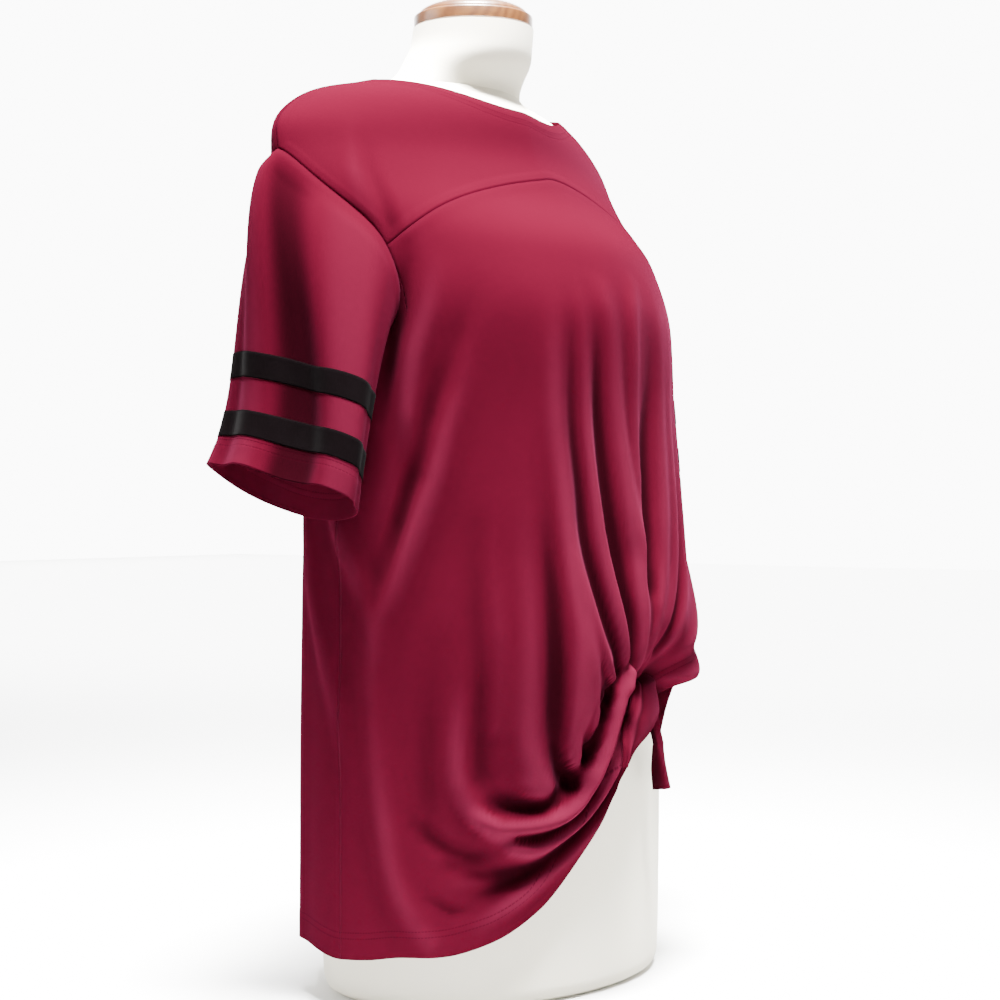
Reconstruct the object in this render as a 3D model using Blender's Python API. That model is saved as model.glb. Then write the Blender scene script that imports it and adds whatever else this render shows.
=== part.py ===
"""A knot front top standing on a limbless dress form, as closed solids.

Metres, +Z up. The form faces -Y, so the wearer's right is -X, and the origin is the
middle of the form's flat underside.

All body cloth lies on one surface. A place on it is named by its turn, in degrees round
the body from the wearer's right side seam (0) over the front (90) to the left side seam
(180) and the back (270 or -90), and by its height. Folds are laid on that surface by
hand, and each panel is a wall of even thickness between its own sewn edges.
"""

import math
from collections import namedtuple

import bmesh
import bpy
import numpy as np

COLLECTION = "knot_front_top"

# Walls, and the room between pieces.
WALL = 0.0015
BAND_WALL = 0.0008
WRAP_WALL = 0.0018
CLEAR = 0.0003
SEAM_PULL = 0.0003
ARMHOLE_LAP = 0.0004

# The top's outline: hem, underarm, shoulder point and neck.
HEM_HEIGHT = 0.050
HEM_DIP = 0.007
HEM_DIP_TURN = 16.0
UNDERARM_HEIGHT = 0.545
SHOULDER_SEAM_HEIGHT = 0.725
NECK_HALF_WIDTH = 0.119
NECK_CENTRE_X = 0.009
NECK_CENTRE_Y = 0.049
NECK_FRONT_DEPTH = 0.091
NECK_BACK_DEPTH = 0.060
ARMHOLE_HALF_TURN = 24.0
YOKE_SEAM_CENTRE = 0.720
YOKE_SEAM_END = 0.643
YOKE_SEAM_POWER = 1.7
YOKE_SEAM_TURN = 97.0

# The knot, on the wearer's left of the centre front.
KNOT_TURN = 97.5
KNOT_HEIGHT = 0.256
KNOT_DEPTH = 0.034
KNOT_REACH_ROUND = 0.046
KNOT_REACH_UP = 0.040

# Metres of cloth to one radian of turn, where distances along folds are measured.
UNROLL = 0.200

# How many grid lines each panel has.
FRONT_COLUMNS = 40
FRONT_SIDE_ROWS = 23
FRONT_ARM_ROWS = 7
YOKE_ARM_ROWS = 6
SHOULDER_ROWS = 4
BACK_COLUMNS = 16
BACK_SIDE_ROWS = 8
BACK_ARM_ROWS = 11
SLEEVE_UPPER_ROWS = 6
FORM_COLUMNS = 32
WRAP_STEPS = 8
TIE_STEPS = 4
CAP_STEPS = 32

# Degrees by which the hem's lines are drawn to the gathers, and how much closer the
# lines up the front side seams stand near the hem.
HEM_GATHER = 18.0
FRONT_SIDE_CROWDING = 1.35

# Rings round the cloth and round the form: their height, half width, the middle of the
# side in Y, how far they reach forward and back of it, and a power that is 2 for an
# ellipse and less where the shoulders come to an edge.
Section = namedtuple("Section", "height half_width centre front back power")
CLOTH_SECTIONS = (
    Section(0.030, 0.206, -0.002, 0.151, 0.129, 2.00),
    Section(0.160, 0.206, -0.002, 0.165, 0.129, 2.00),
    Section(0.290, 0.206, -0.002, 0.181, 0.129, 2.00),
    Section(0.400, 0.205, -0.001, 0.167, 0.130, 2.00),
    Section(0.515, 0.203, 0.002, 0.158, 0.132, 2.00),
    Section(0.585, 0.204, 0.006, 0.160, 0.132, 2.00),
    Section(0.650, 0.214, 0.018, 0.150, 0.124, 1.85),
    Section(0.710, 0.242, 0.033, 0.104, 0.106, 1.60),
    Section(0.745, 0.240, 0.041, 0.094, 0.092, 1.50),
    Section(0.769, 0.217, 0.045, 0.093, 0.082, 1.50),
    Section(0.790, 0.172, 0.047, 0.084, 0.074, 1.58),
    Section(0.808, 0.092, 0.049, 0.066, 0.060, 1.80),
    Section(0.830, 0.060, 0.049, 0.050, 0.050, 2.00),
)
FORM_SECTIONS = (
    Section(0.000, 0.172, -0.003, 0.130, 0.113, 2.00),
    Section(0.004, 0.179, -0.003, 0.137, 0.120, 2.00),
    Section(0.014, 0.182, -0.003, 0.140, 0.123, 2.00),
    Section(0.060, 0.184, -0.003, 0.141, 0.124, 2.00),
    Section(0.160, 0.185, -0.003, 0.142, 0.124, 2.00),
    Section(0.220, 0.180, -0.003, 0.138, 0.121, 2.00),
    Section(0.300, 0.162, -0.002, 0.124, 0.115, 2.00),
    Section(0.385, 0.142, -0.001, 0.110, 0.106, 2.00),
    Section(0.450, 0.149, 0.000, 0.119, 0.112, 2.00),
    Section(0.515, 0.162, 0.002, 0.137, 0.118, 2.00),
    Section(0.585, 0.172, 0.006, 0.148, 0.121, 2.00),
    Section(0.650, 0.183, 0.018, 0.128, 0.112, 1.90),
    Section(0.700, 0.196, 0.030, 0.106, 0.099, 1.75),
    Section(0.740, 0.204, 0.040, 0.090, 0.082, 1.60),
    Section(0.7625, 0.200, 0.044, 0.084, 0.072, 1.55),
    Section(0.7742, 0.193, 0.045, 0.081, 0.069, 1.55),
    Section(0.7873, 0.166, 0.046, 0.076, 0.063, 1.58),
    Section(0.8053, 0.090, 0.046, 0.058, 0.046, 1.80),
    Section(0.818, 0.070, 0.036, 0.056, 0.048, 2.00),
    Section(0.834, 0.061, 0.024, 0.059, 0.058, 2.00),
    Section(0.850, 0.0565, 0.018, 0.0565, 0.0565, 2.00),
    Section(0.865, 0.0560, 0.016, 0.0560, 0.0560, 2.00),
)

# The front hem from side seam to side seam, pulled up to the knot.
HemPlace = namedtuple("HemPlace", "turn height")
FRONT_HEM = (
    HemPlace(0, 0.043),
    HemPlace(10, 0.045),
    HemPlace(21, 0.049),
    HemPlace(33, 0.050),
    HemPlace(46, 0.060),
    HemPlace(59, 0.085),
    HemPlace(70, 0.128),
    HemPlace(75, 0.154),
    HemPlace(79, 0.178),
    HemPlace(84, 0.202),
    HemPlace(90, 0.222),
    HemPlace(97, 0.234),
    HemPlace(104, 0.250),
    HemPlace(112, 0.263),
    HemPlace(124, 0.268),
    HemPlace(136, 0.267),
    HemPlace(148, 0.259),
    HemPlace(154, 0.236),
    HemPlace(160, 0.180),
    HemPlace(166, 0.112),
    HemPlace(172, 0.066),
    HemPlace(180, 0.043),
)

# Each fold is a ridge, or with a negative lift a trough, on a curve through three places
# (turn, height). Its lift and half width are given at both ends.
Fold = namedtuple("Fold", "name start middle end lifts widths")
FOLDS = (
    Fold("swag roll", (84, 0.270), (71, 0.184), (43, 0.162), (0.013, 0.004), (0.011, 0.014)),
    Fold("pocket over the roll", (80, 0.275), (67, 0.197), (46, 0.178), (-0.012, -0.003), (0.006, 0.009)),
    Fold("second swag", (80, 0.190), (58, 0.138), (36, 0.225), (0.009, 0.003), (0.010, 0.013)),
    Fold("trough under the roll", (80, 0.215), (62, 0.155), (44, 0.158), (-0.006, -0.003), (0.006, 0.007)),
    Fold("third swag", (78, 0.165), (60, 0.124), (37, 0.100), (0.007, 0.003), (0.008, 0.011)),
    Fold("fourth swag", (72, 0.142), (59, 0.106), (46, 0.078), (0.005, 0.002), (0.007, 0.009)),
    Fold("gather to the side", (70, 0.205), (65, 0.360), (59, 0.600), (0.007, 0.002), (0.010, 0.020)),
    Fold("first gather", (80, 0.285), (68, 0.360), (64, 0.560), (0.006, 0.002), (0.007, 0.016)),
    Fold("second gather", (86, 0.295), (75, 0.410), (74, 0.600), (0.006, 0.002), (0.006, 0.014)),
    Fold("third gather", (92, 0.300), (83, 0.410), (82, 0.620), (0.005, 0.002), (0.005, 0.013)),
    Fold("fourth gather", (97, 0.300), (90, 0.410), (90, 0.620), (0.006, 0.002), (0.005, 0.013)),
    Fold("fifth gather", (102, 0.300), (98, 0.410), (98, 0.600), (0.006, 0.002), (0.005, 0.013)),
    Fold("sixth gather", (107, 0.295), (109, 0.370), (108, 0.560), (0.006, 0.002), (0.006, 0.015)),
    Fold("seventh gather", (111, 0.288), (120, 0.350), (121, 0.500), (0.006, 0.002), (0.007, 0.018)),
    Fold("balloon fold", (113, 0.280), (127, 0.310), (138, 0.400), (0.006, 0.002), (0.008, 0.020)),
    Fold("left swag", (116, 0.272), (136, 0.262), (160, 0.300), (0.006, 0.002), (0.009, 0.018)),
    Fold("right side drape", (14, 0.060), (12, 0.240), (26, 0.420), (0.006, 0.002), (0.022, 0.030)),
    Fold("right side hollow", (27, 0.080), (26, 0.260), (40, 0.400), (-0.005, -0.002), (0.022, 0.030)),
    Fold("right back drape", (-28, 0.040), (-25, 0.240), (-20, 0.440), (0.005, 0.001), (0.026, 0.034)),
    Fold("back drape to the right", (-62, 0.040), (-60, 0.240), (-56, 0.440), (0.007, 0.001), (0.028, 0.036)),
    Fold("back drape to the left", (242, 0.040), (240, 0.240), (236, 0.440), (0.007, 0.001), (0.028, 0.036)),
    Fold("left back drape", (207, 0.040), (205, 0.240), (200, 0.440), (0.006, 0.001), (0.026, 0.034)),
    Fold("left side drape", (168, 0.080), (166, 0.240), (158, 0.420), (0.006, 0.002), (0.022, 0.030)),
)

# The sleeve runs from the armhole to a flat, tilted hem. Round it, psi is 0 at the
# underarm, 90 at the front, 180 on the outside and 270 at the back. Reach is how the
# cloth leaves the armhole, and rise how it stands on the hem, for those four sides.
SLEEVE_HEM_OUT = {"right": 0.2575, "left": 0.2530}
SLEEVE_HEM_HALF_OUT = 0.0325
SLEEVE_HEM_Y = {"right": 0.015, "left": 0.030}
SLEEVE_HEM_HALF_Y = 0.075
SLEEVE_HEM_HEIGHT = 0.4373
SLEEVE_HEM_FRONT_DROP = 0.0115
SLEEVE_HEM_INNER_DROP = 0.0200
SLEEVE_HEM_SIDE_DROP = 0.0023
Lead = namedtuple("Lead", "out fore down")
SLEEVE_REACH = (
    Lead(0.020, 0.000, 0.010),
    Lead(0.035, 0.012, 0.030),
    Lead(0.053, 0.000, 0.040),
    Lead(0.049, -0.021, 0.030),
)
SLEEVE_RISE = (
    Lead(-0.001, 0.000, -0.035),
    Lead(-0.012, 0.004, -0.070),
    Lead(-0.040, 0.000, -0.078),
    Lead(-0.030, 0.022, -0.068),
)
LAP_FROM_PSI = 92.0
LAP_TO_PSI = 128.0
BAND_EDGES = ((0.026, 0.048), (0.076, 0.098))
SleeveFold = namedtuple("SleeveFold", "psi lift_top lift_hem width")
SLEEVE_FOLDS = (
    SleeveFold(121, 0.004, 0.008, 19),
    SleeveFold(164, -0.007, -0.012, 15),
    SleeveFold(193, 0.004, 0.006, 12),
    SleeveFold(217, -0.003, -0.004, 12),
    SleeveFold(250, 0.003, 0.005, 20),
    SleeveFold(300, -0.002, -0.003, 18),
)

# The wrap over the knot: rows down its middle line, seen from the front.
WrapRow = namedtuple("WrapRow", "x height half_width tilt crown")
WRAP_ROWS = (
    WrapRow(0.026, 0.283, 0.009, 0, 0.001),
    WrapRow(0.029, 0.268, 0.018, 6, 0.004),
    WrapRow(0.026, 0.250, 0.025, 12, 0.006),
    WrapRow(0.020, 0.234, 0.029, 20, 0.007),
    WrapRow(0.011, 0.219, 0.031, 28, 0.006),
    WrapRow(0.000, 0.205, 0.031, 36, 0.004),
)
WRAP_EDGE_LIFT = 0.0030
TieRow = namedtuple("TieRow", "x height half_width")
TIE_ROWS = (
    TieRow(0.040, 0.236, 0.006),
    TieRow(0.040, 0.220, 0.007),
    TieRow(0.045, 0.202, 0.009),
    TieRow(0.049, 0.187, 0.012),
    TieRow(0.053, 0.172, 0.0155),
)
TIE_LIFT = 0.0026
TIE_CURL = 0.003
TIE_CURL_FROM = 0.220
TIE_CURL_REACH = 0.040
TIE_HANGS_BELOW = 0.214

# The turned wooden cap on the neck.
CAP_RADIUS = 0.055
CAP_HEIGHT = 0.026
CAP_RIM = 0.012
CAP_CORNER = 0.004
CAP_CROWN_SHARE = 0.93
CAP_Y = 0.016

Finish = namedtuple("Finish", "name colour roughness metallic")
JERSEY = Finish("wine_jersey", (0.23, 0.012, 0.042, 1.0), 0.55, 0.0)
SATIN = Finish("black_satin", (0.010, 0.010, 0.012, 1.0), 0.35, 0.0)
FORM_COVER = Finish("cream_form_cover", (0.80, 0.76, 0.66, 1.0), 0.85, 0.0)
CAP_WOOD = Finish("honey_wood", (0.50, 0.22, 0.06, 1.0), 0.40, 0.0)


def smooth_step(value):
    """Rise smoothly from 0 to 1 as the value goes from 0 to 1."""
    held = np.clip(value, 0.0, 1.0)
    return held * held * (3.0 - 2.0 * held)


def monotone_curve(knots, values, at):
    """Read a monotone cubic through the knots, which never overshoots them."""
    knots = np.asarray(knots, float)
    values = np.asarray(values, float)
    spans = np.diff(knots)
    slopes = np.diff(values) / spans
    tangents = np.concatenate(([slopes[0]], np.zeros(len(knots) - 2), [slopes[-1]]))
    for k in range(1, len(knots) - 1):
        if slopes[k - 1] * slopes[k] > 0:
            near = 2 * spans[k] + spans[k - 1]
            far = spans[k] + 2 * spans[k - 1]
            tangents[k] = (near + far) / (near / slopes[k - 1] + far / slopes[k])
    at = np.clip(at, knots[0], knots[-1])
    k = np.clip(np.searchsorted(knots, at) - 1, 0, len(knots) - 2)
    t = (at - knots[k]) / spans[k]
    rise = t * t * (3 - 2 * t)
    bow_in = t * (1 - t) ** 2 * spans[k]
    bow_out = t * t * (t - 1) * spans[k]
    flat = values[k] * (1 - rise) + values[k + 1] * rise
    return flat + bow_in * tangents[k] + bow_out * tangents[k + 1]


def ring_point(sections, turn, height):
    """Place points on the rings of a section table."""
    heights = [row.height for row in sections]
    half_width, centre, front, back, power = (
        monotone_curve(heights, [row[field] for row in sections], height)
        for field in range(1, 6)
    )
    side = np.cos(np.radians(turn))
    fore = np.sin(np.radians(turn))
    reach = np.where(fore > 0, front, back)
    x = -half_width * np.sign(side) * np.abs(side) ** (2 / power)
    y = centre - reach * np.sign(fore) * np.abs(fore) ** (2 / power)
    return np.stack([x, y, height + 0 * x], axis=-1)


def outward(place, turn, height):
    """Outward unit normals of a surface that place(turn, height) gives."""
    turn_step = 0.3
    height_step = 0.001
    round_body = place(turn + turn_step, height) - place(turn - turn_step, height)
    up_body = place(turn, height + height_step) - place(turn, height - height_step)
    normal = np.cross(round_body, up_body)
    return normal / np.linalg.norm(normal, axis=-1, keepdims=True)


def fold_lift(fold, turn, height):
    """How far one fold lifts the cloth at each place."""
    start, middle, end = (np.array(p, float) for p in (fold.start, fold.middle, fold.end))
    control = 2 * middle - (start + end) / 2
    to_metres = np.array([math.radians(UNROLL), 1.0])
    near_turn = middle[0] + (turn - middle[0] + 180) % 360 - 180
    place = np.stack([near_turn, height + 0 * near_turn], axis=-1) * to_metres
    best = np.full(near_turn.shape, np.inf)
    along = np.zeros(near_turn.shape)
    steps = np.linspace(0, 1, 15)[:, None]
    curve = (1 - steps) ** 2 * start + 2 * steps * (1 - steps) * control + steps**2 * end
    curve = curve * to_metres
    for k in range(len(curve) - 1):
        span = curve[k + 1] - curve[k]
        share = np.clip((place - curve[k]) @ span / (span @ span), 0, 1)
        gap = np.linalg.norm(place - curve[k] - share[..., None] * span, axis=-1)
        closer = gap < best
        best = np.where(closer, gap, best)
        along = np.where(closer, (k + share) / (len(curve) - 1), along)
    lift = fold.lifts[0] + (fold.lifts[1] - fold.lifts[0]) * along
    width = fold.widths[0] + (fold.widths[1] - fold.widths[0]) * along
    return lift * np.exp(-((best / width) ** 2))


def relief(turn, height):
    """The folds and the hollow of the knot, as a lift off the smooth cloth."""
    shape = sum(fold_lift(fold, turn, height) for fold in FOLDS)
    aside = np.radians(turn - KNOT_TURN) * UNROLL / KNOT_REACH_ROUND
    above = (height - KNOT_HEIGHT) / KNOT_REACH_UP
    return shape - KNOT_DEPTH * np.exp(-(aside**2) - above**2)


def smooth_cloth(turn, height):
    """The cloth's surface without its folds."""
    return ring_point(CLOTH_SECTIONS, turn, height)


def cloth(turn, height):
    """The middle of the cloth, folds and knot hollow included."""
    lift = relief(turn, height)[..., None]
    return smooth_cloth(turn, height) + outward(smooth_cloth, turn, height) * lift


def armhole(psi):
    """Turn and height round the armhole of the wearer's right side."""
    middle = (UNDERARM_HEIGHT + SHOULDER_SEAM_HEIGHT) / 2
    half = (SHOULDER_SEAM_HEIGHT - UNDERARM_HEIGHT) / 2
    around = np.radians(psi)
    return np.stack([ARMHOLE_HALF_TURN * np.sin(around), middle - half * np.cos(around)], axis=-1)


def yoke_end_psi():
    """Where the yoke seam meets the armhole."""
    middle = (UNDERARM_HEIGHT + SHOULDER_SEAM_HEIGHT) / 2
    half = (SHOULDER_SEAM_HEIGHT - UNDERARM_HEIGHT) / 2
    return math.degrees(math.acos((middle - YOKE_SEAM_END) / half))


def yoke_seam(columns):
    """Turn and height along the seam between the yoke and the front body."""
    end_turn = float(armhole(yoke_end_psi())[0])
    turn = np.linspace(end_turn, 180 - end_turn, columns + 1)
    to_end = np.where(turn < YOKE_SEAM_TURN, YOKE_SEAM_TURN - end_turn, 180 - end_turn - YOKE_SEAM_TURN)
    aside = np.abs(turn - YOKE_SEAM_TURN) / to_end
    height = YOKE_SEAM_CENTRE - (YOKE_SEAM_CENTRE - YOKE_SEAM_END) * aside**YOKE_SEAM_POWER
    return np.stack([turn, height], axis=-1)


def front_hem(columns):
    """Turn and height along the front hem, with more lines where it is gathered."""
    share = np.linspace(0, 1, columns + 1)
    turn = 180 * share + HEM_GATHER * np.sin(2 * math.pi * share)
    height = monotone_curve([p.turn for p in FRONT_HEM], [p.height for p in FRONT_HEM], turn)
    return np.stack([turn, height], axis=-1)


def neckline(start, end, columns):
    """Turn and height under a curve drawn in plan, found by halving."""
    around = np.radians(np.linspace(start, end, columns + 1))
    depth = np.where(np.sin(around) > 0, NECK_FRONT_DEPTH, NECK_BACK_DEPTH)
    x = NECK_CENTRE_X - NECK_HALF_WIDTH * np.cos(around)
    y = NECK_CENTRE_Y - depth * np.sin(around)
    low = np.full(around.shape, 0.74)
    high = np.full(around.shape, 0.829)
    heights = [row.height for row in CLOTH_SECTIONS]
    for _ in range(40):
        height = (low + high) / 2
        half_width, centre, front, back, power = (
            monotone_curve(heights, [row[field] for row in CLOTH_SECTIONS], height)
            for field in range(1, 6)
        )
        reach = np.where(y < centre, front, back)
        side = np.sign(-x) * np.abs(x / half_width) ** (power / 2)
        fore = np.sign(centre - y) * np.abs((y - centre) / reach) ** (power / 2)
        outside = side**2 + fore**2 > 1
        high = np.where(outside, height, high)
        low = np.where(outside, low, height)
    turn = np.degrees(np.arctan2(fore, side))
    return np.stack([turn, (low + high) / 2], axis=-1)


def edge_share(edge):
    """How far along an edge each of its places lies, from 0 to 1."""
    metres = edge * np.array([math.radians(UNROLL), 1.0])
    steps = np.linalg.norm(np.diff(metres, axis=0), axis=1)
    run = np.concatenate(([0.0], np.cumsum(steps)))
    return run / run[-1]


def patch(bottom, top, left, right):
    """Fill a panel between its four edges (a Coons patch)."""
    t = edge_share(left)[:, None, None]
    s = np.linspace(0, 1, len(bottom))[None, :, None]
    rows = (1 - t) * bottom[None] + t * top[None]
    sides = (1 - s) * left[:, None] + s * right[:, None]
    corners = (1 - t) * ((1 - s) * bottom[0] + s * bottom[-1])
    corners = corners + t * ((1 - s) * top[0] + s * top[-1])
    return rows + sides - corners


def mirrored(edge):
    """The same edge on the wearer's other side."""
    return np.stack([180 - edge[:, 0], edge[:, 1]], axis=-1)


def side_seam(rows, crowding):
    """Places up a side seam, closer together near the hem."""
    share = np.linspace(0, 1, rows + 1) ** crowding
    low = HEM_HEIGHT - HEM_DIP
    height = low + (UNDERARM_HEIGHT - low) * share
    return np.stack([np.zeros(rows + 1), height], axis=-1)


def shoulder_seam(rows, end_height):
    """Places from the shoulder point to the neck."""
    height = np.linspace(SHOULDER_SEAM_HEIGHT, end_height, rows + 1)
    return np.stack([np.zeros(rows + 1), height], axis=-1)


def join_edges(*edges):
    """Put edges end to end, each shared corner once."""
    return np.concatenate([edges[0]] + [edge[1:] for edge in edges[1:]])


def front_body_places():
    """The lower front, from its knotted hem to the yoke seam."""
    arm = armhole(np.linspace(0, yoke_end_psi(), FRONT_ARM_ROWS + 1))
    right = join_edges(side_seam(FRONT_SIDE_ROWS, FRONT_SIDE_CROWDING), arm)
    return patch(front_hem(FRONT_COLUMNS), yoke_seam(FRONT_COLUMNS), right, mirrored(right))


def front_yoke_places():
    """The upper front, from the yoke seam to the neckline."""
    arm = armhole(np.linspace(yoke_end_psi(), 180, YOKE_ARM_ROWS + 1))
    top = neckline(0, 180, FRONT_COLUMNS)
    top[0, 0] = 0
    top[-1, 0] = 180
    right = join_edges(arm, shoulder_seam(SHOULDER_ROWS, top[0, 1]))
    left = join_edges(arm, shoulder_seam(SHOULDER_ROWS, top[-1, 1]))
    return patch(yoke_seam(FRONT_COLUMNS), top, right, mirrored(left))


def back_places():
    """The back, from its level hem to the back neckline."""
    arm = armhole(np.linspace(360, 180, BACK_ARM_ROWS + 1))
    top = neckline(360, 180, BACK_COLUMNS)
    top[:, 0] = np.where(top[:, 0] > 0, top[:, 0] - 360, top[:, 0])
    top[0, 0] = 0
    top[-1, 0] = -180
    below = join_edges(side_seam(BACK_SIDE_ROWS, 1.0), arm)
    right = join_edges(below, shoulder_seam(SHOULDER_ROWS, top[0, 1]))
    left = join_edges(below, shoulder_seam(SHOULDER_ROWS, top[-1, 1]))
    left[:, 0] = -180 - left[:, 0]
    turn = np.linspace(0, -180, BACK_COLUMNS + 1)
    from_seam = np.minimum(-turn, 180 + turn) / HEM_DIP_TURN
    bottom = np.stack([turn, HEM_HEIGHT - HEM_DIP * np.exp(-(from_seam**2))], axis=-1)
    return patch(bottom, top, right, left)


def pulled_back(points, rims):
    """Draw a panel's sewn rims back into it, so that neighbours stay clear."""
    drawn = points.copy()
    ends = {
        "bottom": ((0, slice(None)), (1, slice(None))),
        "top": ((-1, slice(None)), (-2, slice(None))),
        "left": ((slice(None), 0), (slice(None), 1)),
        "right": ((slice(None), -1), (slice(None), -2)),
    }
    for rim in rims:
        at, inner = ends[rim]
        inward = points[inner] - points[at]
        drawn[at] += SEAM_PULL * inward / np.linalg.norm(inward, axis=-1, keepdims=True)
    return drawn


def make_object(name, mesh, finish, parts):
    """Close a bmesh into an object with its own material."""
    bmesh.ops.recalc_face_normals(mesh, faces=mesh.faces)
    data = bpy.data.meshes.new(name)
    mesh.to_mesh(data)
    mesh.free()
    material = bpy.data.materials.new(finish.name)
    material.use_nodes = True
    shader = material.node_tree.nodes["Principled BSDF"]
    shader.inputs["Base Color"].default_value = finish.colour
    shader.inputs["Roughness"].default_value = finish.roughness
    shader.inputs["Metallic"].default_value = finish.metallic
    data.materials.append(material)
    data.shade_smooth()
    data.set_sharp_from_angle(angle=math.radians(50))
    piece = bpy.data.objects.new(name, data)
    parts.objects.link(piece)
    return piece


def placed_grid(points, closed):
    """A sheet with its corners on a grid of points, welded into a tube if closed."""
    rows, columns = points.shape[:2]
    mesh = bmesh.new()
    bmesh.ops.create_grid(mesh, x_segments=columns - 1, y_segments=rows - 1, size=0.5)
    place = mesh.verts.layers.int.new("place")
    for vert in mesh.verts:
        column = round((vert.co.x + 0.5) * (columns - 1))
        row = round((vert.co.y + 0.5) * (rows - 1))
        vert[place] = row * columns + column
        vert.co = points[row, column]
    if closed:
        bmesh.ops.remove_doubles(mesh, verts=mesh.verts, dist=1e-6)
    return mesh, place


def cloth_wall(name, points, normals, wall, finish, parts, closed=False):
    """A wall of even thickness whose middle runs through the points."""
    mesh, place = placed_grid(points, closed)
    bmesh.ops.triangulate(mesh, faces=mesh.faces, quad_method="SHORT_EDGE")
    raised = bmesh.ops.extrude_face_region(mesh, geom=mesh.faces[:])
    outer = {item for item in raised["geom"] if isinstance(item, bmesh.types.BMVert)}
    middles = points.reshape(-1, 3)
    directions = normals.reshape(-1, 3)
    for vert in mesh.verts:
        side = wall / 2 if vert in outer else -wall / 2
        vert.co = middles[vert[place]] + directions[vert[place]] * side
    return make_object(name, mesh, finish, parts)


def body_panel(name, places, rims, parts):
    """One body panel with its sewn rims drawn back."""
    turn = places[..., 0]
    height = places[..., 1]
    points = pulled_back(cloth(turn, height), rims)
    return cloth_wall(name, points, outward(cloth, turn, height), WALL, JERSEY, parts)


def sleeve_psi():
    """Lines down the sleeve, one at each row of the panels round its armhole."""
    seam = yoke_end_psi()
    front = np.linspace(0, seam, FRONT_ARM_ROWS + 1)
    yoke = np.linspace(seam, 180, YOKE_ARM_ROWS + 1)
    back = np.linspace(180, 360, BACK_ARM_ROWS + 1)
    return np.concatenate([front, yoke[1:], back[1:]])


def four_sides(leads, psi):
    """Blend the leads of the underarm, front, outside and back round the sleeve."""
    inner = np.cos(np.radians(psi))
    fore = np.sin(np.radians(psi))
    shares = [np.maximum(inner, 0) ** 2, np.maximum(fore, 0) ** 2]
    shares += [np.maximum(-inner, 0) ** 2, np.maximum(-fore, 0) ** 2]
    return sum(share[:, None] * np.array([-lead.out, -lead.fore, -lead.down])
               for share, lead in zip(shares, leads))


def tube_normals(points, outwards_from):
    """Outward normals of a closed tube of points, rows down and columns round it."""
    open_ring = points[:, :-1]
    around = np.roll(open_ring, -1, axis=1) - np.roll(open_ring, 1, axis=1)
    down = np.gradient(open_ring, axis=0)
    normal = np.cross(around, down)
    normal /= np.linalg.norm(normal, axis=-1, keepdims=True)
    facing = np.sum(normal * (open_ring - outwards_from[:, None]), axis=-1)
    normal *= np.sign(np.median(facing))
    return np.concatenate([normal, normal[:, :1]], axis=1)


def sleeve_rows(side):
    """Points and normals of a sleeve, its hem first and its armhole last."""
    psi = sleeve_psi()
    left_side = side == "left"
    place = armhole(psi)
    turn = 180 - place[:, 0] if left_side else place[:, 0]
    seat = cloth(turn, place[:, 1])
    seat_normal = outward(cloth, turn, place[:, 1])
    flip = np.array([-1.0, 1.0, 1.0]) if left_side else np.ones(3)
    from_top = np.abs(psi - 180)
    lapped = smooth_step((from_top - (180 - LAP_TO_PSI)) / (LAP_TO_PSI - LAP_FROM_PSI))
    start = seat * flip + seat_normal * flip * (lapped * (WALL + ARMHOLE_LAP))[:, None]
    around = np.radians(psi)
    hem = np.stack([
        -SLEEVE_HEM_OUT[side] + SLEEVE_HEM_HALF_OUT * np.cos(around),
        SLEEVE_HEM_Y[side] - SLEEVE_HEM_HALF_Y * np.sin(around),
        SLEEVE_HEM_HEIGHT - SLEEVE_HEM_FRONT_DROP * np.sin(around)
        - SLEEVE_HEM_INNER_DROP * np.cos(around) - SLEEVE_HEM_SIDE_DROP * np.cos(2 * around),
    ], axis=-1)
    first = start + four_sides(SLEEVE_REACH, psi)
    second = hem + four_sides(SLEEVE_RISE, psi)
    t = np.linspace(0, 1, 41)[:, None, None]
    run = (1 - t) ** 3 * hem + 3 * t * (1 - t) ** 2 * second
    run = run + 3 * t * t * (1 - t) * first + t**3 * start
    steps = np.linalg.norm(np.diff(run, axis=0), axis=-1)
    travelled = np.concatenate([np.zeros((1, len(psi))), np.cumsum(steps, axis=0)])
    stops = np.array([0.0] + [edge for band in BAND_EDGES for edge in band])
    rest = np.linspace(0, 1, SLEEVE_UPPER_ROWS + 1)[1:]
    points = np.empty((len(stops) + len(rest), len(psi), 3))
    upper = np.empty(points.shape[:2])
    for k in range(len(psi)):
        length = travelled[-1, k]
        reach = np.concatenate([stops, stops[-1] + rest * (length - stops[-1])])
        upper[:, k] = reach / length
        for axis in range(3):
            points[:, k, axis] = np.interp(reach, travelled[:, k], run[:, k, axis])
    toward_arm = start - points[-2]
    toward_arm /= np.linalg.norm(toward_arm, axis=-1, keepdims=True)
    points[-1] -= toward_arm * (SEAM_PULL * (1 - lapped))[:, None]
    middle = points[:, :-1].mean(axis=1)
    normals = tube_normals(points, middle)
    lift = np.zeros(points.shape[:2])
    for fold in SLEEVE_FOLDS:
        aside = (psi - fold.psi + 180) % 360 - 180
        height = fold.lift_hem + (fold.lift_top - fold.lift_hem) * upper
        lift += height * np.exp(-((aside / fold.width) ** 2))
    lift *= smooth_step((1 - upper) / 0.25)
    points = points + normals * lift[..., None]
    normals = tube_normals(points, middle)
    normals[-1] = seat_normal * flip
    return points * flip, normals * flip


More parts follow.
